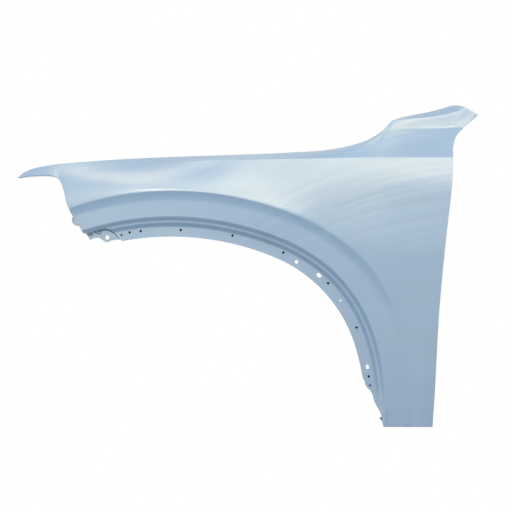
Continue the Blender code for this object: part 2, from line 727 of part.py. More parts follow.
def panel_tools(mesh):
    add_prism(mesh, front_trim, view_frame(), -20.0, 250.0)
    add_prism(mesh, tail_trim, view_frame(), -20.0, 80.0)
    holes = [(spot, NUT_HOLE_R, 16) for spot in nut_spots]
    holes += [(spot, RIVET_HOLE_R, 12) for spot in rivet_spots]
    for (u, w), radius, sides in holes:
        outline = round_outline(radius, 0.0, 0.0, sides)
        add_prism(mesh, outline, flange_frame(u, w, FLANGE_DEPTH), -6.0, 6.0)
    for angle, offset, radius, half in OPEN_HOLES:
        u, w = arch_point(angle, offset, TOP_COLUMNS)
        add_prism(mesh, round_outline(radius, half, angle, 20), flange_frame(u, w, FLANGE_DEPTH), -6.0, 6.0)
    offset, rise, radius, half = TAIL_SLOT
    u, w = tail_point(offset, rise)
    outline = round_outline(radius, half, tail_angle(rise), 20)
    add_prism(mesh, outline, flange_frame(u, w, FLANGE_DEPTH), -6.0, 6.0)


cut(panel, make_cutter("panel_tools", panel_tools))

# Front bracket behind the arch flange, with a folded pocket at its front
BRACKET_OUTLINE = [(-38.5, 47.9), (-38.1, 33.5), (-34.9, 31.7), (-30.8, 30.3), (-21.9, 15.4), (-15.7, 18.2),
                   (-9.6, 20.5), (-1.6, 20.7), (3.5, 18.5), (13.1, 11.9), (18.4, 9.7), (22.9, 10.5),
                   (27.5, 13.5), (37.1, 15.5), (54.4, 17.4), (65.4, 19.9), (65.4, 49.9)]
BRACKET_DEPTH = FLANGE_DEPTH + SHEET + GAP + 0.08
POCKET_DEPTH = 6.0
POCKET_EDGE = (-15.6, -6.6)
DIMPLE = (1.9, 33.9, 4.0)


def bracket_depth(u, w):
    anchor_u, anchor_w = front_point(0.0, 0.0)
    du = u - anchor_u
    dw = w - anchor_w
    pocket = POCKET_DEPTH * (1.0 - smooth(du + 0.5 * (dw - BRACKET_HOLE[1]), *POCKET_EDGE))
    reach = math.hypot(du - DIMPLE[0], dw - DIMPLE[1])
    pocket += DIMPLE[2] * (1.0 - smooth(reach, 3.0, 9.0))
    return sweep(u) + BRACKET_DEPTH + pocket


def ranges(outline, margin):
    """Lowest and highest u and w of an outline, with a margin."""
    us = [spot[0] for spot in outline]
    ws = [spot[1] for spot in outline]
    return (min(us) - margin, max(us) + margin), (min(ws) - margin, max(ws) + margin)


bracket_outline = [front_point(*spot) for spot in BRACKET_OUTLINE]
front_bracket = curved_plate("front_arch_bracket", bracket_outline, BRACKET_SHEET, bracket_depth,
                             *ranges(bracket_outline, 4.0), (28, 12))


def bracket_tools(mesh):
    du, dw, radius = BRACKET_HOLE
    u, w = front_point(du, dw)
    add_prism(mesh, round_outline(radius, 0.0, 0.0, 24), flange_frame(u, w, BRACKET_DEPTH), -9.0, 9.0)
    u, w = rivet_spots[0]
    add_prism(mesh, round_outline(RIVET_HOLE_R, 0.0, 0.0, 12), flange_frame(u, w, FLANGE_DEPTH), -6.0, 9.0)


cut(front_bracket, make_cutter("bracket_tools", bracket_tools))

# Rounded tab that looks out from behind the front edge: centre and radius of each end
TAB_TIP = (-51.9, 63.5, 13.8)
TAB_ROOT = (-11.6, 70.9, 11.0)


def tab_outline():
    heading = math.atan2(TAB_ROOT[1] - TAB_TIP[1], TAB_ROOT[0] - TAB_TIP[0])
    out = []
    for end, start, steps in ((TAB_TIP, math.pi / 2.0, 12), (TAB_ROOT, -math.pi / 2.0, 8)):
        u, w = front_point(end[0], end[1])
        for k in range(steps + 1):
            a = heading + start + math.pi * k / steps
            out.append((u + end[2] * math.cos(a), w + end[2] * math.sin(a)))
    return out


TAB_DEPTH = BAND_DEPTH + SHEET + GAP + 0.15
curved_plate("front_edge_tab", tab_outline(), BRACKET_SHEET, lambda u, w: sweep(u) + TAB_DEPTH,
             *ranges(tab_outline(), 4.0), (14, 2))

# Dark clip at the foot, behind the ridge of the arch flange
CLIP_OUTLINE = [(34.5, 21.3), (36.7, 22.8), (43.7, 22.8), (43.7, 12.5), (40.9, 12.5)]
CLIP_THICKNESS = 2.5
clip_depth = RIDGE_DEPTH + SHEET + GAP + 0.4
clip_mesh = bmesh.new()
clip_outline = [tail_point(*spot) for spot in CLIP_OUTLINE]
add_prism(clip_mesh, clip_outline, view_frame(), clip_depth, clip_depth + CLIP_THICKNESS)
to_object("foot_clip", clip_mesh)

# Screw nuts: a plug in the hole and a collar behind the flange
NUT_PROFILE = [(0.0, 0.3), (NUT_HOLE_R - GAP, 0.3), (NUT_HOLE_R - GAP, SHEET + GAP), (4.8, SHEET + GAP),
               (4.8, SHEET + GAP + 1.8), (3.2, SHEET + GAP + 5.0), (0.0, SHEET + GAP + 5.0)]
for number, (u, w) in enumerate(nut_spots, 1):
    nut_mesh = bmesh.new()
    add_lathe(nut_mesh, NUT_PROFILE, flange_frame(u, w, FLANGE_DEPTH), 16)
    to_object("screw_nut_%d" % number, nut_mesh)

# Rivets: a flat head outside, a hollow shank and a bulb behind
for number, (u, w) in enumerate(rivet_spots, 1):
    stack = SHEET + GAP + (BRACKET_SHEET + 0.1 if number == 1 else 0.0)
    shank = RIVET_HOLE_R - GAP
    profile = [(0.0, 0.6), (0.9, 0.6), (0.9, -GAP - 0.7), (2.4, -GAP - 0.7), (3.0, -GAP - 0.3),
               (3.0, -GAP), (shank, -GAP), (shank, stack + GAP), (2.6, stack + GAP),
               (2.4, stack + GAP + 2.0), (1.2, stack + GAP + 2.8), (0.0, stack + GAP + 2.8)]
    rivet_mesh = bmesh.new()
    add_lathe(rivet_mesh, profile, flange_frame(u, w, FLANGE_DEPTH), 16)
    to_object("flange_rivet_%d" % number, rivet_mesh)
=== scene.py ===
# %% [markdown]
# # A pressed front fender
#
# The real object is one sheet of steel, pressed into the skin round a front wheel of a
# large off-road vehicle. It has two small brackets, a clip, two rivets and eight screw
# nuts. The CAD model already has its true size and all its parts, but in flat facets.
# Here the same surfaces are drawn again with many more points, so that light runs over
# them as it does over pressed steel.

# %% Load the frame and keep its size
import json
import math
import bpy
import bmesh
from mathutils import Matrix, Vector

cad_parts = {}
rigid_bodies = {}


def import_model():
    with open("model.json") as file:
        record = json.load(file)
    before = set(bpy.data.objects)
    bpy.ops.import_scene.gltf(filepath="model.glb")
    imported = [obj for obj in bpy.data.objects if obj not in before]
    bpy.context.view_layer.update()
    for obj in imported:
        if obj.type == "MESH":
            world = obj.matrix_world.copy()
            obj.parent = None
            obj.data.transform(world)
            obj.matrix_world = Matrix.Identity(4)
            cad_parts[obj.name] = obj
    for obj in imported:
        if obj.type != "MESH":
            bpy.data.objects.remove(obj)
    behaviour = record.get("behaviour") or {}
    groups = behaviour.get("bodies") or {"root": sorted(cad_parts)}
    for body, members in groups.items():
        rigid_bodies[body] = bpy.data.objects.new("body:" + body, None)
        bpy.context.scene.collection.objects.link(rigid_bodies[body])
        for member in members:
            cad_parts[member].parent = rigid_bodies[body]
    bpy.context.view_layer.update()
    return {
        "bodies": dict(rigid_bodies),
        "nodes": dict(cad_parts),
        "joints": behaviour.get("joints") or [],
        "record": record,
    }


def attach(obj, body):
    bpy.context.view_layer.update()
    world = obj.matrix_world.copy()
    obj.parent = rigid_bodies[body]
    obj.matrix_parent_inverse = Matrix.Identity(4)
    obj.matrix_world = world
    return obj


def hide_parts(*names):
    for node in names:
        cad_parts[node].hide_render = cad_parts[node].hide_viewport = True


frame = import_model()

print("CAD nodes:", sorted(frame["nodes"]))

# %% [markdown]
# The camera comes first, so that each piece can be judged as soon as it is made. The
# photograph looks at the panel square-on, with no visible perspective. A very long lens
# from far away gives the same flat view. A picture 1.229 m wide holds the whole panel.

# %% The camera
VIEW_WIDTH = 1.2288
VIEW_CENTRE = (0.0423, -0.058, -0.2255)
CAMERA_DISTANCE = 45.0
SENSOR_WIDTH = 36.0
camera_data = bpy.data.cameras.new("camera")
camera_data.sensor_width = SENSOR_WIDTH
camera_data.lens = SENSOR_WIDTH * CAMERA_DISTANCE / VIEW_WIDTH
camera_data.clip_end = 200.0
camera = bpy.data.objects.new("camera", camera_data)
camera.location = (VIEW_CENTRE[0], VIEW_CENTRE[1] - CAMERA_DISTANCE, VIEW_CENTRE[2])
camera.rotation_euler = (math.radians(90.0), 0.0, 0.0)
bpy.context.scene.collection.objects.link(camera)
bpy.context.scene.camera = camera
print("lens in mm:", round(camera_data.lens))

# %% [markdown]
# The drawing sizes are those of the CAD model, in millimetres: u runs to the rear of the
# vehicle, w runs up, and depth runs inboard from the outermost line. Three arcs that
# touch make the wheel arch, each given by its radius and by the angle where it ends. The
# other lists are the lines that a panel maker would draw.

# %% The wheel arch and the sections across it
ARC_1 = (-1.6, -21.2, 646.8)
TURN_1 = 22.6
RADIUS_2 = 338.4
TURN_2 = 73.8
RADIUS_3 = 605.5
FRONT_ANGLE = -18.95
FRONT_SKEW = 1.05
CORNER_ANGLE = 50.0
FOOT_W = 169.0
FLANGE_DEPTH = 30.0
RIDGE_DEPTH = 19.0
BAND_DEPTH = 7.5
STEP_1 = (23.5, 35.5)
STEP_2 = (37.5, 49.0)
STEP_SHIFT = [(15.0, 0.0), (30.0, 1.2), (42.0, 3.2), (52.0, 4.0), (72.0, 3.4), (84.0, 2.0),
              (89.0, 0.0)]
CREASE_OFFSET = [(-19.0, 108.0), (0.0, 109.8), (19.6, 112.7), (40.0, 118.2), (50.3, 122.1),
                 (60.6, 119.1), (71.7, 113.3), (80.7, 107.7), (90.0, 102.5)]
FRONT_BULGE = [(0.0, 0.0), (0.15, -1.2), (0.40, 1.5), (0.66, 3.8), (0.80, 4.3), (0.93, 2.6),
               (1.0, 0.0)]
print("arch from", FRONT_ANGLE, "degrees to the foot at", FOOT_W, "mm")

# %% [markdown]
# Four lines bound the upper part of the panel: the shoulder, the edge beside the door,
# the edge under the hood, and the crease along the cowl that ends at the tip of the horn.
# Each is given by points, and a smooth curve runs through them.

# %% The lines of the shoulder, the door, the hood and the cowl
NOTCH = (-274.5, 765.8)
DOOR_CORNER = (675.6, 815.5)
SHOULDER = [NOTCH, (-194.9, 778.3), (-122.9, 788.6), (-26.9, 801.1), (69.1, 807.6),
            (213.1, 810.7), (357.1, 813.6), (520.0, 815.0), DOOR_CORNER]
SHOULDER_DEPTH = 38.0
BLEND_FROM = -110.0
BLEND_TO = 240.0
DOOR_EDGE = [DOOR_CORNER, (674.3, 772.3), (670.3, 724.3), (663.2, 664.3), (650.3, 544.3),
             (641.1, 436.3), (636.3, 352.3), (630.7, 244.3), (625.6, FOOT_W)]
HOOD_EDGE = [(-274.1, 800.2), (-204.5, 805.9), (-108.5, 812.2), (6.7, 817.4), (160.3, 822.5),
             (275.5, 827.3), (352.3, 831.8), (390.7, 836.9), (429.1, 844.4), (467.5, 855.9),
             (486.7, 865.2), (505.9, 877.4), (517.4, 888.0), (526.1, 898.8), (532.8, 906.0)]
COWL_CREASE = [(532.8, 906.0), (553.0, 907.0), (604.3, 911.3), (645.1, 916.6), (665.8, 921.1),
               (684.2, 926.2), (696.0, 932.0), (705.4, 937.8)]
COWL_RISE = [(532.8, 0.0), (549.0, 4.6), (582.7, 9.2), (616.3, 12.4), (649.9, 16.3), (668.0, 17.6),
             (683.5, 15.4), (692.0, 10.5), (705.4, 0.0)]
HORN_TIP = (735.8, 918.8)
HORN_EDGE = [(DOOR_CORNER[1], DOOR_CORNER[0]), (834.7, 675.3), (847.9, 677.0), (863.0, 681.4),
             (876.5, 689.8), (887.5, 701.4), (897.6, 713.0), (912.0, 729.8),
             (HORN_TIP[1], HORN_TIP[0])]
KINK_DROP = 18.2
KINK_SLOPE = 0.75
HOOD_DEPTH = [(-370.0, 52.0), (-274.0, 60.0), (-123.0, 81.0), (0.0, 92.0), (160.0, 95.0),
              (350.0, 88.0), (450.0, 88.0), (533.0, 92.0), (704.0, 100.0), (735.0, 96.0)]
print("hood edge over", HOOD_EDGE[-1][0] - HOOD_EDGE[0][0], "mm")

# %% [markdown]
# The snout is drawn by its upper and its lower edge. The lips are hidden from outside, so
# their widths are what such a pressing needs: a wall 18 mm high and a flange 22 mm wide
# under the hood, 14 mm beside the door, 20 mm at the foot and 11 mm at the front.

# %% The snout beside the headlamp and the folded lips
SNOUT_FROM = NOTCH[0]
SNOUT_TO = -369.5
SNOUT_TOP = [(-369.5, 768.9), (-363.0, 774.9), (-358.1, 778.8), (-343.7, 785.8), (-329.3, 790.8),
             (-300.5, 796.1), (-274.1, 800.2)]
SNOUT_UNDER = [(-369.5, 767.2), (-361.0, 766.8), (-350.0, 768.8), (-320.0, 770.4), (-300.0, 770.8),
               (-288.0, 769.6), (-280.0, 768.0), NOTCH]
HOOD_WALL = 18.0
HOOD_FLANGE = 22.0
FLANGE_LINE = (-108.5, 794.2, 0.04253)
FLAT_FROM = FLANGE_LINE[0]
FLAT_TO = 352.3
WALL_FADE = (400.0, 520.0)
DOOR_LIP = 14.0
FOOT_LIP = 20.0
FRONT_LIP = 11.0
SHEET = 1.0
GAP = 0.3
BRACKET_SHEET = 1.2
print("snout", SNOUT_FROM - SNOUT_TO, "mm long")

# %% [markdown]
# The CAD object hangs by its hood flange, and its origin is under that flange.
# `place` turns drawing millimetres into metres in that frame. `smooth` is an S-shaped
# step, and `fair` draws a smooth curve through a list of points.

# %% Drawing helpers
MOUNT_U = 160.0
MOUNT_DEPTH = 108.0
ORIGIN_W = FLANGE_LINE[1] + FLANGE_LINE[2] * (MOUNT_U - FLANGE_LINE[0]) - SHEET
PER_DEGREE = 10.0


def place(u, depth, w):
    return Vector(((u - MOUNT_U) * 0.001, (depth - MOUNT_DEPTH) * 0.001, (w - ORIGIN_W) * 0.001))


def smooth(x, low, high):
    t = min(1.0, max(0.0, (x - low) / (high - low)))
    return t * t * (3.0 - 2.0 * t)


def fair(points, x):
    if x <= points[0][0]:
        return points[0][1]
    if x >= points[-1][0]:
        return points[-1][1]
    steps = [(b[1] - a[1]) / (b[0] - a[0]) for a, b in zip(points, points[1:])]
    slopes = [steps[0]]
    for before, after in zip(steps, steps[1:]):
        slopes.append(0.5 * (before + after) if before * after > 0 else 0.0)
    slopes.append(steps[-1])
    for k, (a, b) in enumerate(zip(points, points[1:])):
        if x <= b[0]:
            h = b[0] - a[0]
            t = (x - a[0]) / h
            return (a[1] * (1 + 2 * t) * (1 - t) ** 2 + h * slopes[k] * t * (1 - t) ** 2
                    + b[1] * t * t * (3 - 2 * t) - h * slopes[k + 1] * t * t * (1 - t))


print("origin at w", round(ORIGIN_W, 3))


# %% [markdown]
# Some edges need points at chosen steps. `rounded_path` draws a smooth curve through the
# listed points, and `share_out` walks along it and sets the wanted number of points.

# %% Points along a curve
def rounded_path(points, steps):
    out = []
    for k in range(len(points) - 1):
        p0 = Vector(points[max(k - 1, 0)])
        p1 = Vector(points[k])
        p2 = Vector(points[k + 1])
        p3 = Vector(points[min(k + 2, len(points) - 1)])
        for s in range(steps):
            t = s / steps
            out.append(0.5 * (2 * p1 + (p2 - p0) * t + (2 * p0 - 5 * p1 + 4 * p2 - p3) * t * t
                              + (3 * p1 - p0 - 3 * p2 + p3) * t ** 3))
    out.append(Vector(points[-1]))
    return out


def share_out(path, count, grade=1.0):
    """Points along a path; a grade over 1 packs them at its end."""
    lengths = [0.0]
    for a, b in zip(path, path[1:]):
        lengths.append(lengths[-1] + (b - a).length)
    out = []
    k = 0
    for n in range(count + 1):
        goal = lengths[-1] * (1.0 - (1.0 - n / count) ** grade)
        while k < len(path) - 2 and lengths[k + 1] < goal:
            k += 1
        out.append(path[k].lerp(path[k + 1], (goal - lengths[k]) / (lengths[k + 1] - lengths[k])))
    return out

PATH_STEPS = 12
print("points on the drawn hood edge:", len(rounded_path(HOOD_EDGE, PATH_STEPS)))

# %% [markdown]
# The front of the fender sweeps inboard towards the headlamp, and the foot tucks in a
# little. The three arcs of the wheel arch meet without a corner, because each next
# centre lies on the line through the last centre and the meeting point.

# %% Plan sweep and arch points
SWEEP_START = 90.0
SWEEP_RATE = 6.64e-4
TUCK_TOP = 400.0
TUCK_FOOT = 6.0
SKEW_OFFSETS = (44.0, 100.0)
SKEW_COLUMNS = 5.0


def sweep(u):
    return SWEEP_RATE * max(0.0, SWEEP_START - u) ** 2


def tuck(w):
    return TUCK_FOOT * (max(0.0, TUCK_TOP - w) / (TUCK_TOP - FOOT_W)) ** 2


def next_arc(arc, turn, radius):
    a = math.radians(turn)
    gap = arc[2] - radius
    return arc[0] + gap * math.sin(a), arc[1] + gap * math.cos(a), radius


ARC_2 = next_arc(ARC_1, TURN_1, RADIUS_2)
ARC_3 = next_arc(ARC_2, TURN_2, RADIUS_3)


def arch_point(angle, offset, column=SKEW_COLUMNS):
    """Point at a distance outside the arch edge; angles past 90 run straight down."""
    if angle > 90.0:
        drop = (angle - 90.0) * PER_DEGREE
        bow = ARC_3[2] - math.sqrt(ARC_3[2] ** 2 - drop ** 2)
        return ARC_3[0] + ARC_3[2] + offset - bow, ARC_3[1] - drop
    if angle <= TURN_1:
        inner, outer = SKEW_OFFSETS
        fade = min(1.0, max(0.0, (outer - offset) / (outer - inner)))
        fade *= max(0.0, 1.0 - column / SKEW_COLUMNS)
        cu, cw, radius = ARC_1
        a = math.radians(angle + FRONT_SKEW * fade)
    else:
        cu, cw, radius = ARC_2 if angle <= TURN_2 else ARC_3
        a = math.radians(angle)
    return cu + (radius + offset) * math.sin(a), cw + (radius + offset) * math.cos(a)


print("arc centres:", ARC_2[:2], ARC_3[:2])

# %% [markdown]
# The panel is laid out in columns that fan round the arch. Every CAD column becomes four
# here. The first 136 end at the shoulder line and go on up to the hood and the cowl, and
# the last 80 end at the door edge.

# %% Columns round the arch
FINE = 4
TOP = 34 * FINE
HOOD = 27 * FINE
COWL = 6 * FINE
SIDE = 20 * FINE
COLUMNS = TOP + SIDE


def column_angles():
    length_1 = math.radians(TURN_1 - FRONT_ANGLE) * ARC_1[2]
    length_2 = math.radians(CORNER_ANGLE - TURN_1) * ARC_2[2]
    angles = []
    for n in range(TOP + 1):
        run = (length_1 + length_2) * n / TOP
        if run <= length_1:
            angles.append(FRONT_ANGLE + math.degrees(run / ARC_1[2]))
        else:
            angles.append(TURN_1 + math.degrees((run - length_1) / ARC_2[2]))
    length_2 = math.radians(TURN_2 - CORNER_ANGLE) * ARC_2[2]
    length_3 = math.radians(90.0 - TURN_2) * ARC_3[2]
    total = length_2 + length_3 + ARC_3[1] - FOOT_W
    for n in range(1, SIDE + 1):
        run = total * n / SIDE
        if run <= length_2:
            angles.append(CORNER_ANGLE + math.degrees(run / ARC_2[2]))
        elif run <= length_2 + length_3:
            angles.append(TURN_2 + math.degrees((run - length_2) / ARC_3[2]))
        else:
            angles.append(90.0 + (run - length_2 - length_3) / PER_DEGREE)
    return angles


angles = column_angles()
print("columns:", len(angles))

# %% [markdown]
# Across the arch, the sheet starts as a flat flange, steps out twice, and then bulges to
# the crease of the wheel flare. The steps are soft S-curves about 12 mm wide, as a press
# makes them, and they lie a few millimetres further out round the rear of the arch. Under
# the corner at the door the crease fades out, which `crisp` describes.

# %% The section from the arch edge to the crease
FLANGE_OFFSETS = [0.0, 6.0, 12.0, 18.0, 22.5, 23.5, 25.0, 26.5, 28.0, 29.5, 31.0, 32.5, 34.0, 35.5,
                  36.5, 37.5, 39.0, 40.4, 41.8, 43.2, 44.6, 46.0, 47.4, 49.0, 49.8, 50.5]
BAND_SHARES = [0.04, 0.09, 0.15, 0.22, 0.30, 0.38, 0.46, 0.54, 0.62, 0.70, 0.77, 0.83, 0.88, 0.92,
               0.955, 0.98, 1.0]
BAND_FROM = len(FLANGE_OFFSETS) - 1
CREASE_ROW = BAND_FROM + len(BAND_SHARES)
FLANGE_END = FLANGE_OFFSETS[-1]
SHIFT_FROM = 12.0
TUCK_OFFSETS = (44.0, 50.0)
BAND_SLOPE = 0.2
BAND_TURN = 0.6
SOFT_DEPTH = 4.0
CREASE_FADE = (48.0, 80.0)
CREASE_LOSS = 0.85


def crisp(angle):
    """1 where the crease is a clear fold, less where it fades out."""
    return 1.0 - CREASE_LOSS * smooth(angle, *CREASE_FADE)


def arch_section(i, j):
    angle = angles[i]
    shift = fair(STEP_SHIFT, min(max(angle, STEP_SHIFT[0][0]), STEP_SHIFT[-1][0]))
    if j <= BAND_FROM:
        offset = FLANGE_OFFSETS[j]
        rel = FLANGE_DEPTH + (RIDGE_DEPTH - FLANGE_DEPTH) * smooth(offset, *STEP_1)
        rel += (BAND_DEPTH - RIDGE_DEPTH) * smooth(offset, *STEP_2)
        share = smooth(offset, *TUCK_OFFSETS)
        offset += shift * smooth(offset, SHIFT_FROM, STEP_1[0])
    else:
        q = BAND_SHARES[j - BAND_FROM - 1]
        crease = fair(CREASE_OFFSET, min(angle, 90.0))
        offset = FLANGE_END + shift + (crease - FLANGE_END - shift) * q
        turned = max(0.0, (q - BAND_TURN) / (1.0 - BAND_TURN)) ** 2
        hard = BAND_DEPTH * (1.0 - BAND_SLOPE * q - (1.0 - BAND_SLOPE) * turned)
        soft = BAND_DEPTH - (BAND_DEPTH - SOFT_DEPTH) * math.sin(q * math.pi / 2.0)
        rel = crisp(angle) * hard + (1.0 - crisp(angle)) * soft
        share = 1.0
    u, w = arch_point(angle, offset, i / FINE)
    return u, sweep(u) + rel + share * tuck(w), w


print("rows below the crease:", CREASE_ROW + 1)

# %% [markdown]
# Each column meets one point of the shoulder line or the door edge, and each top column
# also one point of the hood edge, the cowl crease or the end of the pillar horn.

# %% Outer ends of the columns
HOOD_GRADE = 1.25
crease_line = [arch_section(i, CREASE_ROW) for i in range(COLUMNS + 1)]
door_curve = [(w, u) for u, w in reversed(DOOR_EDGE)]


def outer_end(i):
    if i <= TOP:
        share = (crease_line[i][0] - crease_line[0][0]) / (crease_line[TOP][0] - crease_line[0][0])
        u = NOTCH[0] + (DOOR_CORNER[0] - NOTCH[0]) * share
        return u, fair(SHOULDER, u)
    share = (crease_line[i][2] - FOOT_W) / (crease_line[TOP][2] - FOOT_W)
    w = FOOT_W + (DOOR_CORNER[1] - FOOT_W) * share
    return fair(door_curve, w), w


outer_line = [outer_end(i) for i in range(COLUMNS + 1)]
top_line = share_out(rounded_path(HOOD_EDGE, PATH_STEPS), HOOD, HOOD_GRADE)
top_line += share_out(rounded_path(COWL_CREASE, PATH_STEPS), COWL)[1:]
top_line += [top_line[-1].lerp(Vector(HORN_TIP), k / FINE) for k in range(1, FINE + 1)]
print("points along hood, cowl and horn:", len(top_line))

# %% [markdown]
# Above the crease the body rises to the shoulder line. At the front there is no shoulder
# yet, and one smooth roll goes on to the hood. Beside the door the side is a slow barrel
# that rolls over under the shoulder. The shapes are blended along the panel, so that the
# shoulder line fades in as it does on the real one.

# %% The section from the crease to the shoulder
BODY_GRADE = 1.2
BODY_SHARES = [(j / 24) ** BODY_GRADE for j in range(24)] + [0.967, 0.98, 0.989, 0.995, 1.0]
BODY_ROWS = len(BODY_SHARES) - 1
FLARE_MIX = (0.8, 0.2)
FLARE_POWER = 4
FADE_HEIGHT = 0.6
FRONT_COLUMNS = 5.0
HOOD_POWER = 1.9
ROLL_HEIGHT = 90.0
ROLL_SHARE = 0.3
BARREL_FROM = 350.0
BARREL_DROP = -0.59
BARREL_RUN = 250.0
BARREL_BACK = 150.0
BARREL_CREASE = 117.5
BARREL_POWER = 1.3
SIDE_FROM = 240.0
SIDE_TO = 540.0


def hood_roll(rise, hood_depth):
    return hood_depth * max(0.0, rise) ** HOOD_POWER


def barrel_base(u):
    """Height where the barrel of the panel's side begins."""
    cu, cw, radius = ARC_2
    crease = cw + math.sqrt((radius + BARREL_CREASE) ** 2 - (BARREL_FROM - cu) ** 2)
    run = min(BARREL_RUN, u - BARREL_FROM)
    return crease + BARREL_DROP * (run - 0.5 * run * run / BARREL_RUN)


def side_depth(u, w):
    """Depth of the panel's side: a slow barrel and a roll under the shoulder, from 0 to 1."""
    top = fair(SHOULDER, u)
    base = barrel_base(max(u, BARREL_FROM - BARREL_BACK))
    barrel = max(0.0, (w - base) / (top - base)) ** BARREL_POWER
    roll = max(0.0, (w - top + ROLL_HEIGHT) / ROLL_HEIGHT) ** 2
    return (1.0 - ROLL_SHARE) * barrel + ROLL_SHARE * roll


def body_section(i, j):
    if j == 0:
        return crease_line[i]
    t = BODY_SHARES[j]
    cu, _, cw = crease_line[i]
    u = cu + (outer_line[i][0] - cu) * t
    u += fair(FRONT_BULGE, t) * max(0.0, 1.0 - i / (FRONT_COLUMNS * FINE))
    w = cw + (outer_line[i][1] - cw) * t
    flare = FLARE_MIX[0] * t + FLARE_MIX[1] * (1.0 - (1.0 - t) ** FLARE_POWER)
    side = smooth(u, SIDE_FROM, SIDE_TO)
    if side > 0.0:
        flare = (1.0 - side) * flare + side * side_depth(u, w)
    rel = SHOULDER_DEPTH * flare
    rel += (1.0 - crisp(angles[i])) * SOFT_DEPTH * (1.0 - smooth(t, 0.0, FADE_HEIGHT))
    if i <= TOP:
        k = smooth(u, BLEND_FROM, BLEND_TO)
        rise = (w - cw) / (top_line[i][1] - cw)
        rel = k * rel + (1.0 - k) * hood_roll(rise, fair(HOOD_DEPTH, top_line[i][0]))
    return u, sweep(u) + rel + tuck(w), w


print("rows above the crease:", BODY_ROWS)

# %% [markdown]
# From the shoulder a shelf leans inboard to the hood. Near the cowl it ends in a kink, and
# a narrow strip leads on to the cowl crease. On the horn the rear edge bows forward.

# %% The shelf between the shoulder and the hood
SHELF_ROWS = 16
STRIP_ROWS = 8
UPPER_ROWS = SHELF_ROWS + STRIP_ROWS
KINK_SHARE = 0.8
KINK_GAIN = 0.085
SHELF_BOW = 0.02
HORN_POWER = 6


def kink_height(hw, sw):
    """Share of the way from the shoulder to the hood at which the kink lies."""
    drop = KINK_DROP * (hw - sw) / (HOOD_EDGE[-1][1] - DOOR_CORNER[1])
    drop += KINK_SLOPE * max(0.0, hw - HOOD_EDGE[-1][1])
    return 1.0 - drop / (hw - sw)


def horn_bow(w):
    """How far the rear edge of the horn lies off its chord; it bows forward, so below 0."""
    climb = (w - DOOR_CORNER[1]) / (HORN_TIP[1] - DOOR_CORNER[1])
    if 0.0 < climb < 1.0:
        return fair(HORN_EDGE, w) - (DOOR_CORNER[0] + (HORN_TIP[0] - DOOR_CORNER[0]) * climb)
    return 0.0


def upper_section(i, j):
    if j == 0:
        return body_section(i, BODY_ROWS)
    su, _, sw = body_section(i, BODY_ROWS)
    hu, hw = top_line[i]
    kink = kink_height(hw, sw)
    kink_share = KINK_SHARE + KINK_GAIN * smooth(hu, HOOD_EDGE[-3][0], COWL_CREASE[2][0])
    if j <= SHELF_ROWS:
        t = kink * j / SHELF_ROWS
        g = kink_share * t / kink + SHELF_BOW * math.sin(math.pi * t / kink)
    else:
        t = kink + (1.0 - kink) * (j - SHELF_ROWS) / STRIP_ROWS
        g = kink_share + (1.0 - kink_share) * (t - kink) / (1.0 - kink)
    w = sw + (hw - sw) * t
    u = su + (hu - su) * t + horn_bow(w) * (i / TOP) ** HORN_POWER
    hood = fair(HOOD_DEPTH, hu)
    rise = (w - crease_line[i][2]) / (hw - crease_line[i][2])
    k = smooth(u, BLEND_FROM, BLEND_TO)
    rel = k * (SHOULDER_DEPTH + (hood - SHOULDER_DEPTH) * g) + (1.0 - k) * hood_roll(rise, hood)
    return u, sweep(u) + rel, w


print("rows above the shoulder:", UPPER_ROWS)

# %% [markdown]
# The snout runs forward from the first column, beside the headlamp, and ends in a small
# rounded nose. It takes its rows from the shelf, squeezed between its two edges.

# %% The snout
SNOUT = 36
SNOUT_GRADE = 1.35
NOSE_ROLL = 0.92
UNDER_CURL = 3.5
CURL_HEIGHT = 3.6
CURL_FROM = (0.03, 0.14)
first_low = body_section(0, BODY_ROWS)[2]
first_high = top_line[0][1]
roll_at_notch = (first_low - crease_line[0][2]) / (first_high - crease_line[0][2])


def snout_section(s, j):
    if s == 0:
        return upper_section(0, j)
    share = s / SNOUT
    u = SNOUT_FROM + (SNOUT_TO - SNOUT_FROM) * (1.0 - (1.0 - share) ** SNOUT_GRADE)
    low = fair(SNOUT_UNDER, u)
    high = fair(SNOUT_TOP, u)
    t = (upper_section(0, j)[2] - first_low) / (first_high - first_low)
    start = roll_at_notch + (NOSE_ROLL - roll_at_notch) * share
    rel = hood_roll(start + (1.0 - start) * t, fair(HOOD_DEPTH, u))
    curl = 1.0 - smooth((high - low) * t, 0.0, CURL_HEIGHT)
    rel += UNDER_CURL * curl * smooth(share, *CURL_FROM)
    return u, sweep(u) + rel, low + (high - low) * t


print("snout columns:", SNOUT)

# %% [markdown]
# Lips are folded from every edge, to stiffen the sheet and to take its screws. Each lip
# is a strip that starts on an edge and runs inboard. Over the hood edge it first drops as
# a wall and then turns into the flat flange that the whole fender hangs by.

# %% The lips along the hood and the cowl
WALL_SHARE = 0.45
WALL_LEAST = 2.0
WALL_LEAN = 2.0
NOSE_NARROWING = 0.6
NOSE_FROM = (280.0, 367.0)
COWL_LIP = 12.0
COWL_WALL = 0.55


def flange_height(u, w_edge):
    if FLAT_FROM <= u <= FLAT_TO:
        return FLANGE_LINE[1] + FLANGE_LINE[2] * (u - FLANGE_LINE[0])
    if u < FLAT_FROM:
        room = WALL_SHARE * (w_edge - fair(SNOUT_UNDER if u < NOTCH[0] else SHOULDER, u))
        return w_edge - min(HOOD_WALL, max(WALL_LEAST, room))
    return w_edge - HOOD_WALL * (1.0 - smooth(u, *WALL_FADE))


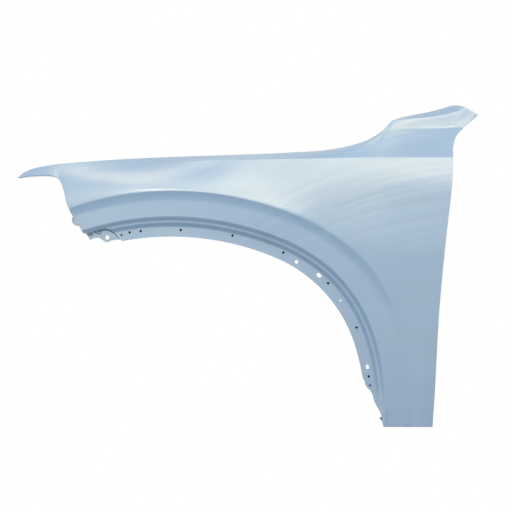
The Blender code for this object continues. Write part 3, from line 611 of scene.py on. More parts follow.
def hood_lip(edge, t):
    """t runs 0 to 1 down the wall and 1 to 2 along the flange."""
    u, depth, w = edge
    height = flange_height(u, w)
    width = HOOD_FLANGE * (1.0 - NOSE_NARROWING * smooth(-u, *NOSE_FROM))
    down = min(t, 1.0)
    return u, depth + WALL_LEAN * down + width * max(0.0, t - 1.0), w + (height - w) * down


def top_lip(i, t):
    u, depth, w = upper_section(i, UPPER_ROWS)
    if i <= HOOD:
        return hood_lip((u, depth, w), t)
    rise = fair(COWL_RISE, u) if i < HOOD + COWL else 0.0
    wall = COWL_WALL * rise * min(t, 1.0)
    return u, depth + COWL_LIP * t, w + wall + (1.0 - COWL_WALL) * rise * max(0.0, t - 1.0)


print("hood flange", HOOD_FLANGE, "mm and cowl lip", 2.0 * COWL_LIP, "mm wide")

# %% [markdown]
# Now the panel is made. Each region starts as a flat grid from `create_grid`, and every
# vertex is moved to the place that the section gives for its column and row. Regions
# share their borders, so that merging doubles joins them into one sheet.

# %% Grids that follow a section
def add_strip(mesh, columns, rows, point):
    made = bmesh.ops.create_grid(mesh, x_segments=columns, y_segments=rows, size=1.0)
    for vert in made["verts"]:
        i = round((vert.co.x + 1.0) * 0.5 * columns)
        j = round((vert.co.y + 1.0) * 0.5 * rows)
        vert.co = place(*point(i, j))


print("strips follow their sections")

# %% [markdown]
# The other lips are plain strips. Each is given by the step from its edge to its far
# side: to the rear, inboard and up. A lip leans in by half a millimetre or so, as a real
# fold does, and so it stays hidden behind its edge.

# %% Lay out the panel
LIP_ROWS = 3
LIP_LEAN = 0.5
DOOR_LEAN = 0.8
LIP_RISE = 0.3
SNOUT_RISE = 0.5
NOSE_LIP_LOSS = 0.5
JOIN = 0.00002


def add_lip(mesh, columns, edge, step):
    def point(i, j):
        return tuple(at + move * j / LIP_ROWS for at, move in zip(edge(i), step(i)))
    add_strip(mesh, columns, LIP_ROWS, point)


def foot_edge(i):
    j = BAND_FROM + i
    if j <= CREASE_ROW:
        return arch_section(COLUMNS, j)
    return body_section(COLUMNS, j - CREASE_ROW)


def build_panel(mesh):
    add_strip(mesh, COLUMNS, CREASE_ROW, arch_section)
    add_strip(mesh, COLUMNS, BODY_ROWS, body_section)
    add_strip(mesh, TOP, UPPER_ROWS, upper_section)
    add_strip(mesh, SNOUT, UPPER_ROWS, snout_section)
    add_strip(mesh, TOP, 2 * LIP_ROWS, lambda i, j: top_lip(i, j / LIP_ROWS))
    add_strip(mesh, SNOUT, 2 * LIP_ROWS,
              lambda s, j: hood_lip(snout_section(s, UPPER_ROWS), j / LIP_ROWS))
    add_lip(mesh, SIDE, lambda i: body_section(TOP + i, BODY_ROWS),
            lambda i: (-DOOR_LEAN, DOOR_LIP, 0.0))
    add_lip(mesh, UPPER_ROWS, lambda j: upper_section(TOP, j),
            lambda j: (-LIP_LEAN, DOOR_LIP, LIP_RISE) if j else (-DOOR_LEAN, DOOR_LIP, 0.0))
    add_lip(mesh, CREASE_ROW - BAND_FROM + BODY_ROWS, foot_edge,
            lambda i: (0.0, FOOT_LIP, 0.0))
    add_lip(mesh, BODY_ROWS, lambda j: body_section(0, j),
            lambda j: (LIP_LEAN, FRONT_LIP, LIP_RISE if j else 0.0))
    add_lip(mesh, SNOUT, lambda s: snout_section(s, 0),
            lambda s: (0.0 if s else LIP_LEAN, FRONT_LIP * (1.0 - NOSE_LIP_LOSS * s / SNOUT),
                       SNOUT_RISE if s else LIP_RISE))


def face_outboard(mesh):
    """Turns the faces of a pressed sheet so that they look away from the vehicle."""
    bmesh.ops.recalc_face_normals(mesh, faces=mesh.faces)
    if sum(face.normal.y * face.calc_area() for face in mesh.faces) > 0.0:
        bmesh.ops.reverse_faces(mesh, faces=mesh.faces)


panel_mesh = bmesh.new()
build_panel(panel_mesh)
before = len(panel_mesh.verts)
bmesh.ops.remove_doubles(panel_mesh, verts=panel_mesh.verts, dist=JOIN)
face_outboard(panel_mesh)
print("panel vertices:", before, "joined to", len(panel_mesh.verts))

# %% [markdown]
# A press can't make a knife-sharp fold. The crease of the wheel flare gets a small
# rounding by smoothing its rows, and the folded edges get a rounded bevel of 1.6 mm.

# %% Round the crease and the folds
CREASE_REACH = 0.0042
FOLD_ANGLE = 38.0
FOLD_ROUNDING = 0.0016


def sharp_edges(mesh, degrees):
    return [edge for edge in mesh.edges
            if len(edge.link_faces) == 2 and edge.calc_face_angle() > math.radians(degrees)]


def near_crease(mesh):
    spots = [place(*point) for point in crease_line]
    return [vert for vert in mesh.verts if not vert.is_boundary
            and min((vert.co - spot).length_squared for spot in spots) < CREASE_REACH ** 2]


crease_verts = near_crease(panel_mesh)
for _ in range(3):
    bmesh.ops.smooth_vert(panel_mesh, verts=crease_verts, factor=0.5, use_axis_y=True)
folds = sharp_edges(panel_mesh, FOLD_ANGLE)
print("crease vertices:", len(crease_verts), "fold edges:", len(folds))
bmesh.ops.bevel(panel_mesh, geom=folds, affect="EDGES", offset=FOLD_ROUNDING,
                offset_type="OFFSET", segments=3, profile=0.5, material=-1, clamp_overlap=True)
bmesh.ops.remove_doubles(panel_mesh, verts=panel_mesh.verts, dist=JOIN)
print("panel faces:", len(panel_mesh.faces))

# %% [markdown]
# The sheet gets its 1 mm thickness from a Solidify modifier, inwards from the drawn face.
# The holes and the trimmed ends of the arch flange are cut by one Boolean, as a punch
# would cut them. Both are applied here, so that the finished piece is a plain mesh.

# %% Finish a sheet: thickness, then cuts
def add_object(name, mesh):
    data = bpy.data.meshes.new(name)
    mesh.to_mesh(data)
    mesh.free()
    made = bpy.data.objects.new(name, data)
    bpy.context.scene.collection.objects.link(made)
    return made


def add_tool(name, mesh):
    bmesh.ops.recalc_face_normals(mesh, faces=mesh.faces)
    return add_object(name, mesh)


def thicken(piece, thickness):
    step = piece.modifiers.new("sheet", "SOLIDIFY")
    step.thickness = thickness * 0.001
    step.offset = -1.0
    step.use_even_offset = True


def cut(piece, tool, operation, folded=False):
    step = piece.modifiers.new("cut", "BOOLEAN")
    step.operation = operation
    step.solver = "EXACT"
    step.use_self = folded
    step.object = tool


def settle(piece, *tools):
    """Applies the modifiers and removes the cutting tools."""
    view = bpy.context.evaluated_depsgraph_get()
    data = bpy.data.meshes.new_from_object(piece.evaluated_get(view))
    piece.modifiers.clear()
    piece.data = data
    data.name = piece.name
    for tool in tools:
        bpy.data.objects.remove(tool, do_unlink=True)
    print(piece.name, "faces:", len(data.polygons))


def shade(piece, degrees=30.0):
    piece.data.shade_smooth()
    piece.data.set_sharp_from_angle(angle=math.radians(degrees))


# %% [markdown]
# Holes and trimmed ends are cut by punches: an outline is made one face, and extruded
# through the sheet. A hole stands square to the flange, which turns inboard at the front.

# %% Punches
def flange_frame(u, w, depth):
    """Axes on the arch flange: x along it, z inboard through it."""
    slope = -2.0 * SWEEP_RATE * max(0.0, SWEEP_START - u)
    along = Vector((1.0, slope, 0.0)).normalized()
    through = Vector((-slope, 1.0, 0.0)).normalized()
    turn = Matrix((along, (0.0, 0.0, -1.0), through)).transposed().to_4x4()
    return Matrix.Translation(place(u, sweep(u) + depth, w)) @ turn @ Matrix.Scale(0.001, 4)


def add_punch(mesh, outline, frame, low, high):
    face = mesh.faces.new([mesh.verts.new((x, y, low)) for x, y in outline])
    grown = bmesh.ops.extrude_face_region(mesh, geom=[face])
    raised = [item for item in grown["geom"] if isinstance(item, bmesh.types.BMVert)]
    bmesh.ops.translate(mesh, verts=raised, vec=(0.0, 0.0, high - low))
    bmesh.ops.transform(mesh, matrix=frame, verts=list(face.verts) + raised)


def round_outline(radius, half_length, angle, segments):
    turn = Matrix.Rotation(math.radians(angle), 2)
    out = []
    for k in range(segments):
        a = 2.0 * math.pi * (k + 0.5) / segments
        shift = half_length if math.cos(a) > 0.0 else -half_length
        out.append(tuple(turn @ Vector((radius * math.cos(a) + shift, radius * math.sin(a)))))
    return out


FACE_FRAME = Matrix.Translation(place(0.0, 0.0, 0.0)) @ Matrix(
    ((0.001, 0.0, 0.0, 0.0), (0.0, 0.0, 0.001, 0.0), (0.0, 0.001, 0.0, 0.0), (0.0, 0.0, 0.0, 1.0)))
print("punches are drawn in millimetres")

# %% [markdown]
# The arch flange carries a row of small holes and slots, and is cut back at both ends.
# Each place is given from the arch: by angle and distance, or from its front or foot.

# %% Where the holes and the trimmed ends are
FRONT_ANCHOR_ANGLE = -15.5
FRONT_TRIM = [(-40.1, 27.9), (-37.1, 32.5), (-28.9, 33.5), (-11.6, 36.8), (-0.6, 39.4),
              (10.5, 42.3), (17.0, 42.8), (23.4, 40.9), (31.6, 35.8), (37.1, 32.7), (41.7, 28.4),
              (45.5, 22.6), (50.1, 17.9), (53.4, 14.5), (55.9, 9.9), (55.9, -42.1),
              (-85.6, -42.1), (-85.6, 27.9)]
FLANGE_TIP = FRONT_TRIM[:15]
TAIL_TRIM = [(-17.7, 119.5), (0.0, 119.5), (1.2, 115.0), (3.9, 109.5), (3.3, 102.0), (7.7, 94.5),
             (14.0, 87.3), (17.9, 80.1), (19.9, 71.5), (21.1, 62.0), (26.0, 51.3), (33.8, 36.9),
             (36.9, 28.0), (38.7, 14.5), (40.0, 7.0), (42.0, 1.6), (45.1, -1.0), (46.0, -19.0),
             (-24.7, -19.0)]
NUT_HOLE_R = 3.0
NUTS = [(-8.6, 17.6), (-6.3, 17.2), (2.0, 16.3), (12.8, 18.8), (25.0, 18.7), (45.9, 21.4),
        (66.2, 18.5)]
RIVET_HOLE_R = 1.9
OPEN_HOLES = [(31.2, 14.1, 4.2, 0.0), (41.3, 19.9, 4.2, 2.2), (54.1, 17.2, 2.4, 0.0)]
TAIL_NUT = (15.4, 121.4)
TAIL_RIVET = (15.3, 100.0)
TAIL_SLOT = (16.5, 144.4, 3.6, 2.0)
FRONT_RIVET = (53.9, 27.7)
BRACKET_HOLE = (19.6, 21.4, 5.2)


def tail_point(offset, rise):
    w = FOOT_W + rise
    return ARC_3[0] + math.sqrt(ARC_3[2] ** 2 - (w - ARC_3[1]) ** 2) + offset, w


def tail_angle(rise):
    return 90.0 - math.degrees(math.asin((FOOT_W + rise - ARC_3[1]) / ARC_3[2]))


def front_point(du, dw):
    u, w = arch_point(FRONT_ANCHOR_ANGLE, 0.0)
    return u + du, w + dw


nut_spots = [arch_point(angle, offset) for angle, offset in NUTS] + [tail_point(*TAIL_NUT)]
rivet_spots = [front_point(*FRONT_RIVET), tail_point(*TAIL_RIVET)]
print("nuts:", len(nut_spots), "rivets:", len(rivet_spots))

# %% [markdown]
# All cuts in the panel are made by one Boolean. Its tool holds both trimmed ends and
# every hole, so that the thin sheet is only cut once.

# %% Cut the panel
FRONT_CUT = (-20.0, 250.0)
TAIL_CUT = (-20.0, 80.0)
HOLE_CUT = (-6.0, 6.0)
HOLE_SIDES = 32

punch_mesh = bmesh.new()
add_punch(punch_mesh, [front_point(*spot) for spot in FRONT_TRIM], FACE_FRAME, *FRONT_CUT)
add_punch(punch_mesh, [tail_point(*spot) for spot in TAIL_TRIM], FACE_FRAME, *TAIL_CUT)
holes = [(u, w, NUT_HOLE_R, 0.0, 0.0) for u, w in nut_spots]
holes += [(u, w, RIVET_HOLE_R, 0.0, 0.0) for u, w in rivet_spots]
holes += [arch_point(angle, offset) + (radius, half, angle)
          for angle, offset, radius, half in OPEN_HOLES]
holes.append(tail_point(*TAIL_SLOT[:2]) + TAIL_SLOT[2:] + (tail_angle(TAIL_SLOT[1]),))
for u, w, radius, half, angle in holes:
    add_punch(punch_mesh, round_outline(radius, half, angle, HOLE_SIDES),
              flange_frame(u, w, FLANGE_DEPTH), *HOLE_CUT)
punch = add_tool("punch", punch_mesh)
panel = add_object("pressed_panel", panel_mesh)
thicken(panel, SHEET)
cut(panel, punch, "DIFFERENCE")
settle(panel, punch)
shade(panel)
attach(panel, "root")
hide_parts("fender_panel")

# %% [markdown]
# The bracket behind the front end of the arch flange is a pressing of its own, with a
# folded pocket at its front, a small dent, one round hole, and a groove that follows the
# end of the flange and shows as a dark line beside it. It is made as the panel is: a fine
# grid that follows a depth, a thickness, then the outline as a cut. Where the groove
# meets the pocket the thick sheet touches itself, so this cut looks for such folds.

# %% The front arch bracket
BRACKET_OUTLINE = [(-38.5, 47.9), (-38.1, 33.5), (-34.9, 31.7), (-30.8, 30.3), (-21.9, 15.4),
                   (-15.7, 18.2), (-9.6, 20.5), (-1.6, 20.7), (3.5, 18.5), (13.1, 11.9),
                   (18.4, 9.7), (22.9, 10.5), (27.5, 13.5), (37.1, 15.5), (54.4, 17.4),
                   (65.4, 19.9), (65.4, 49.9)]
BRACKET_AIR = 0.08
BRACKET_DEPTH = FLANGE_DEPTH + SHEET + GAP + BRACKET_AIR
GROOVE_DEPTH = 3.4
GROOVE_EDGE = (0.4, 3.6)
POCKET_DEPTH = 6.0
POCKET_EDGE = (-17.0, -12.0)
POCKET_FLOOR = (24.0, 33.0)
DENT = ((-5.0, 34.5), (2.0, 32.5))
DENT_DEPTH = 3.0
DENT_EDGE = (1.5, 5.0)
GRID_U = (-42.0, 112.0, 168)
GRID_W = (6.0, 48.0, 72)
OUTLINE_CUT = (-50.0, 250.0)
BRACKET_HOLE_CUT = (-9.0, 9.0)
BRACKET_HOLE_SIDES = 40


def reach(points, du, dw):
    """Distance from a place to a line through points."""
    spot = Vector((du, dw))
    found = []
    for a, b in zip(points, points[1:]):
        start = Vector(a)
        along = Vector(b) - start
        share = min(1.0, max(0.0, (spot - start).dot(along) / along.length_squared))
        found.append((spot - start - share * along).length)
    return min(found)


def bracket_depth(du, dw):
    groove = GROOVE_DEPTH * (1.0 - smooth(reach(FLANGE_TIP, du, dw), *GROOVE_EDGE))
    pocket = POCKET_DEPTH * (1.0 - smooth(du, *POCKET_EDGE)) * smooth(dw, *POCKET_FLOOR)
    dent = DENT_DEPTH * (1.0 - smooth(reach(DENT, du, dw), *DENT_EDGE))
    return BRACKET_DEPTH + max(groove, pocket, dent)


def bracket_section(i, j):
    du = GRID_U[0] + GRID_U[1] * i / GRID_U[2]
    dw = GRID_W[0] + GRID_W[1] * j / GRID_W[2]
    u, w = front_point(du, dw)
    return u, sweep(u) + bracket_depth(du, dw), w


bracket_mesh = bmesh.new()
add_strip(bracket_mesh, GRID_U[2], GRID_W[2], bracket_section)
face_outboard(bracket_mesh)
bracket = add_object("arch_bracket", bracket_mesh)
outline_mesh = bmesh.new()
bracket_line = [front_point(*spot) for spot in BRACKET_OUTLINE]
add_punch(outline_mesh, bracket_line, FACE_FRAME, *OUTLINE_CUT)
outline_tool = add_tool("bracket_outline", outline_mesh)
hole_mesh = bmesh.new()
hole_spot = front_point(*BRACKET_HOLE[:2])
for spot, radius in ((hole_spot, BRACKET_HOLE[2]), (rivet_spots[0], RIVET_HOLE_R)):
    add_punch(hole_mesh, round_outline(radius, 0.0, 0.0, BRACKET_HOLE_SIDES),
              flange_frame(*spot, BRACKET_DEPTH), *BRACKET_HOLE_CUT)
hole_tool = add_tool("bracket_holes", hole_mesh)
thicken(bracket, BRACKET_SHEET)
cut(bracket, outline_tool, "INTERSECT", folded=True)
cut(bracket, hole_tool, "DIFFERENCE")
settle(bracket, outline_tool, hole_tool)
shade(bracket)
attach(bracket, "root")
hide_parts("front_arch_bracket")

# %% [markdown]
# A rounded tab looks out from behind the front edge. It is a small dish: a plate with a
# raised rim. A circle is stretched into its outline, inset for the rim, and the middle
# is pushed inboard, further towards the panel. It lies against the back of the swept
# panel, so each vertex takes the sweep of its place.

# %% The tab at the front edge
TAB_TIP = (-51.9, 63.5, 13.8)
TAB_ROOT = (-11.6, 70.9, 11.0)
TAB_AIR = 0.15
TAB_DEPTH = BAND_DEPTH + SHEET + GAP + TAB_AIR
RIM_WIDTH = 2.2
RIM_FALL = 0.9
RIM_ANGLE = 1.2
RIM_ROUNDING = 0.25
DISH_DEPTH = 0.5
DISH_SLOPE = 0.5
DISH_MOST = 4.0


def cap_faces(mesh):
    return [face for face in mesh.faces if len(face.verts) > 4]


tab_mesh = bmesh.new()
bmesh.ops.create_circle(tab_mesh, cap_ends=True, segments=56, radius=1.0)
heading = Matrix.Rotation(math.atan2(TAB_ROOT[1] - TAB_TIP[1], TAB_ROOT[0] - TAB_TIP[0]), 2)
for vert in tab_mesh.verts:
    end = TAB_ROOT if vert.co.x > 0.0 else TAB_TIP
    spot = heading @ Vector((vert.co.x, vert.co.y)) * end[2]
    vert.co = (*front_point(end[0] + spot.x, end[1] + spot.y), 0.0)
grown = bmesh.ops.extrude_face_region(tab_mesh, geom=list(tab_mesh.faces))
inner = [item for item in grown["geom"] if isinstance(item, bmesh.types.BMFace)]
bmesh.ops.translate(tab_mesh, verts=inner[0].verts, vec=(0.0, 0.0, BRACKET_SHEET))
bmesh.ops.recalc_face_normals(tab_mesh, faces=tab_mesh.faces)
outer = [face for face in cap_faces(tab_mesh) if face not in inner]
for width in (RIM_WIDTH, RIM_FALL):
    bmesh.ops.inset_region(tab_mesh, faces=outer, thickness=width, depth=0.0,
                           use_even_offset=True)
dish_start = min(vert.co.x for vert in outer[0].verts)
for vert in outer[0].verts:
    vert.co.z += DISH_DEPTH + min(DISH_MOST, DISH_SLOPE * (vert.co.x - dish_start))
rims = [edge for edge in tab_mesh.edges
        if len(edge.link_faces) == 2 and edge.calc_face_angle() > RIM_ANGLE]
bmesh.ops.bevel(tab_mesh, geom=rims, affect="EDGES", offset=RIM_ROUNDING, segments=2,
                profile=0.5, material=-1)
for vert in tab_mesh.verts:
    u, w, rel = vert.co
    vert.co = place(u, sweep(u) + TAB_DEPTH + rel, w)
bmesh.ops.triangulate(tab_mesh, faces=cap_faces(tab_mesh))
bmesh.ops.recalc_face_normals(tab_mesh, faces=tab_mesh.faces)
tab = add_object("front_tab", tab_mesh)
shade(tab)
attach(tab, "root")
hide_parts("front_edge_tab")
print("tab faces:", len(tab.data.polygons))

# %% [markdown]
# The screw nuts are turned plastic plugs with a bore, and the rivets are blind rivets
# with a domed head. Both come from a half profile that `spin` turns once round its axis.

# %% Turned pieces
def add_turned(mesh, profile, frame, steps):
    verts = [mesh.verts.new((radius, 0.0, height)) for radius, height in profile]
    edges = [mesh.edges.new(pair) for pair in zip(verts, verts[1:])]
    bmesh.ops.spin(mesh, geom=verts + edges, axis=(0.0, 0.0, 1.0), cent=(0.0, 0.0, 0.0),
                   angle=2.0 * math.pi, steps=steps, use_merge=True)
    bmesh.ops.remove_doubles(mesh, verts=mesh.verts, dist=0.001)
    bmesh.ops.recalc_face_normals(mesh, faces=mesh.faces)
    bmesh.ops.transform(mesh, matrix=frame, verts=mesh.verts)


NUT_PROFILE = [(0.0, 3.8), (1.6, 3.6), (1.75, 3.3), (1.75, 0.7), (1.95, 0.4), (2.45, 0.4),
               (2.7, 0.6), (2.7, 1.3), (4.6, 1.3), (4.8, 1.5), (4.8, 2.9), (4.6, 3.1), (3.7, 3.2),
               (3.3, 3.5), (3.1, 6.0), (2.8, 6.3), (0.0, 6.3)]
NUT_STEPS = 28
for number, (u, w) in enumerate(nut_spots, 1):
    nut_mesh = bmesh.new()
    add_turned(nut_mesh, NUT_PROFILE, flange_frame(u, w, FLANGE_DEPTH), NUT_STEPS)
    nut = add_object("plug_nut_%d" % number, nut_mesh)
    shade(nut, 35.0)
    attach(nut, "root")
    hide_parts("screw_nut_%d" % number)
print("nuts turned:", len(nut_spots))

# %% [markdown]
# A rivet is turned in the same way. Its shank runs through the panel, and the first one
# also through the bracket, and its blind end swells behind them.

# %% Rivets
RIVET_STEPS = 32
RIVET_FACE = [(0.0, 0.1), (0.75, 0.1), (0.9, -0.1), (0.95, -0.85), (1.15, -1.0), (1.7, -0.98),
              (2.3, -0.85), (2.8, -0.62), (3.0, -0.42), (3.0, -GAP)]
RIVET_BACK = [(2.5, GAP), (2.6, 0.8), (2.4, 2.2), (1.9, 2.8), (1.2, 3.1), (0.0, 3.1)]
for number, (u, w) in enumerate(rivet_spots, 1):
    stack = SHEET + GAP + (BRACKET_SHEET + 0.1 if number == 1 else 0.0)
    shank = RIVET_HOLE_R - GAP
    profile = RIVET_FACE + [(shank, -GAP), (shank, stack + GAP)]
    profile += [(radius, stack + height) for radius, height in RIVET_BACK]
    rivet_mesh = bmesh.new()
    add_turned(rivet_mesh, profile, flange_frame(u, w, FLANGE_DEPTH), RIVET_STEPS)
    rivet = add_object("blind_rivet_%d" % number, rivet_mesh)
    shade(rivet, 35.0)
    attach(rivet, "root")
    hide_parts("flange_rivet_%d" % number)
print("rivets turned:", len(rivet_spots))

# %% [markdown]
# The dark clip at the foot is a small moulded wedge behind the arch flange. It starts as
# one face, is extruded to its thickness, and gets rounded edges.

# %% The clip at the foot
CLIP_OUTLINE = [(33.0, 22.0), (35.2, 23.8), (43.7, 23.8), (43.7, 11.6), (40.6, 11.6)]
CLIP_THICKNESS = 2.5
CLIP_ROUNDING = 0.0005
CLIP_AIR = 0.4
clip_low = RIDGE_DEPTH + SHEET + GAP + CLIP_AIR
clip_line = [tail_point(*spot) for spot in CLIP_OUTLINE]
clip_mesh = bmesh.new()
add_punch(clip_mesh, clip_line, FACE_FRAME, clip_low, clip_low + CLIP_THICKNESS)
bmesh.ops.recalc_face_normals(clip_mesh, faces=clip_mesh.faces)
bmesh.ops.bevel(clip_mesh, geom=list(clip_mesh.edges), affect="EDGES", offset=CLIP_ROUNDING,
                segments=3, profile=0.5, material=-1, clamp_overlap=True)
clip = add_object("dark_clip", clip_mesh)
shade(clip, 40.0)
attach(clip, "root")
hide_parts("foot_clip")
print("clip faces:", len(clip.data.polygons))

# %% [markdown]
# Every finish is built from a few nodes: noise on Object coordinates, a change of its
# range, a blend of two colours and a bump. These helpers make one node each.

# %% Node helpers
def new_finish(name):
    material = bpy.data.materials.new(name)
    material.use_nodes = True
    tree = material.node_tree
    shader = tree.nodes["Principled BSDF"]
    place_node = tree.nodes.new("ShaderNodeTexCoord")
    return material, tree, shader, place_node


def add_noise(tree, source, scale, detail, stretch=(1.0, 1.0, 1.0), turn=(0.0, 0.0, 0.0)):
    mapping = tree.nodes.new("ShaderNodeMapping")
    mapping.inputs["Rotation"].default_value = [math.radians(a) for a in turn]
    mapping.inputs["Scale"].default_value = stretch
    tree.links.new(source.outputs["Object"], mapping.inputs["Vector"])
    noise = tree.nodes.new("ShaderNodeTexNoise")
    noise.inputs["Scale"].default_value = scale
    noise.inputs["Detail"].default_value = detail
    tree.links.new(mapping.outputs["Vector"], noise.inputs["Vector"])
    return noise.outputs["Fac"]


def add_math(tree, kind, a, b):
    node = tree.nodes.new("ShaderNodeMath")
    node.operation = kind
    for socket, value in zip(node.inputs, (a, b)):
        if isinstance(value, float):
            socket.default_value = value
        else:
            tree.links.new(value, socket)
    return node.outputs["Value"]


def add_range(tree, value, low, high, to_low, to_high):
    node = tree.nodes.new("ShaderNodeMapRange")
    ends = {"From Min": low, "From Max": high, "To Min": to_low, "To Max": to_high}
    for name, number in ends.items():
        node.inputs[name].default_value = number
    tree.links.new(value, node.inputs["Value"])
    return node.outputs["Result"]


def add_blend(tree, factor, dark, light):
    node = tree.nodes.new("ShaderNodeMix")
    node.data_type = "RGBA"
    node.inputs[6].default_value = (*dark, 1.0)
    node.inputs[7].default_value = (*light, 1.0)
    tree.links.new(factor, node.inputs["Factor"])
    return node.outputs[2]


def add_bump(tree, shader, height, distance, strength):
    node = tree.nodes.new("ShaderNodeBump")
    node.inputs["Distance"].default_value = distance
    node.inputs["Strength"].default_value = strength
    tree.links.new(height, node.inputs["Height"])
    tree.links.new(node.outputs["Normal"], shader.inputs["Normal"])
    return node


print("node helpers ready")

# %% [markdown]
# The press leaves long shallow waves in the sheet where the metal was drawn over the tool.
# They rise to the rear in slightly bent lines, and are clearest under the shoulder. Here
# a noise is stretched along such a line and squeezed across it, and two masks keep it in
# the upper rear part of the skin. It makes a low bump there. It also paints light streaks
# into the coat's colour, as a painted reflection of the lamps.

# %% Draw lines and painted reflection streaks
LINE_START = 0.04
LINE_SLOPE = 0.62
LINE_BEND = 0.568
LINE_LENGTHWAYS = 2.2
LINE_CROSSWAYS = 50.0
LINE_DETAIL = 4.0
LINES_UP_FROM = (-0.30, -0.10)
LINES_REAR_FROM = (-0.15, 0.10)


def add_waves_and_reflection_streaks(tree, source):
    """Waves from -0.5 to 0.5 along the draw lines; used as a bump and as painted reflection
    streaks in the colour.
    """
    parts = tree.nodes.new("ShaderNodeSeparateXYZ")
    tree.links.new(source.outputs["Object"], parts.inputs["Vector"])
    run = add_math(tree, "SUBTRACT", parts.outputs["X"], LINE_START)
    bend = add_math(tree, "MULTIPLY", add_math(tree, "MULTIPLY", run, run), LINE_BEND)
    curve = add_math(tree, "SUBTRACT", add_math(tree, "MULTIPLY", run, LINE_SLOPE), bend)
    across = add_math(tree, "SUBTRACT", parts.outputs["Z"], curve)
    along = add_math(tree, "MULTIPLY", parts.outputs["X"], LINE_LENGTHWAYS)
    joined = tree.nodes.new("ShaderNodeCombineXYZ")
    tree.links.new(along, joined.inputs["X"])
    tree.links.new(add_math(tree, "MULTIPLY", across, LINE_CROSSWAYS), joined.inputs["Z"])
    noise = tree.nodes.new("ShaderNodeTexNoise")
    noise.inputs["Scale"].default_value = 1.0
    noise.inputs["Detail"].default_value = LINE_DETAIL
    tree.links.new(joined.outputs["Vector"], noise.inputs["Vector"])
    high = add_range(tree, parts.outputs["Z"], *LINES_UP_FROM, 0.0, 1.0)
    rear = add_range(tree, parts.outputs["X"], *LINES_REAR_FROM, 0.0, 1.0)
    centred = add_math(tree, "SUBTRACT", noise.outputs["Fac"], 0.5)
    return add_math(tree, "MULTIPLY", centred, add_math(tree, "MULTIPLY", high, rear))


print("lines rise", LINE_SLOPE, "and bend", LINE_BEND)

# %% [markdown]
# The sheet wears a pale ice-blue coat with a satin shine. The coat isn't even: clouds,
# slanting runs and a fine grain change its tone and its shine a little. Along the draw
# lines soft light streaks are painted into its colour as a painted reflection. Its surface
# has a fine orange peel, and the draw lines as a broad, very low bump. The bracket and the
# tab are painted a shade darker, as painted shade for their place behind the panel.

# %% The ice-blue coat
CLOUD_SHARE = 0.45
RUN_SHARE = 0.4
GRAIN_SHARE = 0.15
REFLECTION_STREAK_GAIN = 1.4
PEEL_DEPTH = 0.00003
WAVE_DEPTH = 0.0009


def coated_finish(name, dark, light):
    material, tree, shader, source = new_finish(name)
    clouds = add_noise(tree, source, 3.2, 3.0)
    runs = add_noise(tree, source, 7.0, 4.0, (0.7, 1.0, 4.5), (0.0, 32.0, 0.0))
    grain = add_noise(tree, source, 140.0, 2.0)
    mixed = add_math(tree, "ADD", add_math(tree, "MULTIPLY", clouds, CLOUD_SHARE),
                     add_math(tree, "MULTIPLY", runs, RUN_SHARE))
    mixed = add_math(tree, "ADD", mixed, add_math(tree, "MULTIPLY", grain, GRAIN_SHARE))
    waves_and_reflection_streaks = add_waves_and_reflection_streaks(tree, source)
    # Painted reflection: light streaks along the draw lines are added to the coat's colour,
    # strongest high at the rear.
    painted_reflection_streaks = add_math(tree, "MULTIPLY", waves_and_reflection_streaks, REFLECTION_STREAK_GAIN)
    tone = add_math(tree, "ADD", add_range(tree, mixed, 0.3, 0.7, 0.25, 0.75), painted_reflection_streaks)
    tree.links.new(add_blend(tree, tone, dark, light), shader.inputs["Base Color"])
    tree.links.new(add_range(tree, mixed, 0.3, 0.7, 0.36, 0.28), shader.inputs["Roughness"])
    shader.inputs["IOR"].default_value = 2.5
    shader.inputs["Specular Tint"].default_value = (1.0, 0.85, 0.45, 1.0)
    shader.inputs["Coat Weight"].default_value = 0.25
    shader.inputs["Coat Roughness"].default_value = 0.2
    peel = add_noise(tree, source, 620.0, 1.0)
    fine = add_bump(tree, shader, peel, PEEL_DEPTH, 0.25)
    broad = add_bump(tree, shader, waves_and_reflection_streaks, WAVE_DEPTH, 1.0)
    tree.links.new(fine.outputs["Normal"], broad.inputs["Normal"])
    return material


sheet_coat = coated_finish("ice_blue_sheet", (0.150, 0.290, 0.485), (0.210, 0.378, 0.605))
# Painted shade: the bracket and the tab get a darker copy of the sheet coat, for lying behind the
# panel.
shaded_bracket_coat = coated_finish("ice_blue_bracket_painted_shade", (0.141, 0.277, 0.467), (0.201, 0.361, 0.578))
panel.data.materials.append(sheet_coat)
bracket.data.materials.append(shaded_bracket_coat)
tab.data.materials.append(shaded_bracket_coat)
print("coated finishes:", sheet_coat.name, shaded_bracket_coat.name)

# %% [markdown]
# The plugs and the clip are matt black plastic with a fine grain. The rivets are dull
# aluminium with a thin blue tint from the coat, and small patches that shine more or less.

# %% Black plastic and rivet metal
def plastic_finish():
    material, tree, shader, source = new_finish("matt_black_plastic")
    grain = add_noise(tree, source, 900.0, 2.0)
    patches = add_noise(tree, source, 120.0, 2.0)
    tree.links.new(add_blend(tree, patches, (0.002, 0.005, 0.009), (0.006, 0.010, 0.016)),
                   shader.inputs["Base Color"])
    tree.links.new(add_range(tree, patches, 0.3, 0.7, 0.55, 0.72), shader.inputs["Roughness"])
    shader.inputs["Specular IOR Level"].default_value = 0.2
    add_bump(tree, shader, grain, 0.00005, 0.4)
    return material


def rivet_finish():
    material, tree, shader, source = new_finish("dull_rivet_metal")
    patches = add_noise(tree, source, 500.0, 3.0)
    colour = add_blend(tree, patches, (0.05, 0.09, 0.17), (0.11, 0.17, 0.29))
    tree.links.new(colour, shader.inputs["Base Color"])
    tree.links.new(add_range(tree, patches, 0.3, 0.7, 0.38, 0.55), shader.inputs["Roughness"])
    shader.inputs["Metallic"].default_value = 0.8
    add_bump(tree, shader, patches, 0.00004, 0.3)
    return material


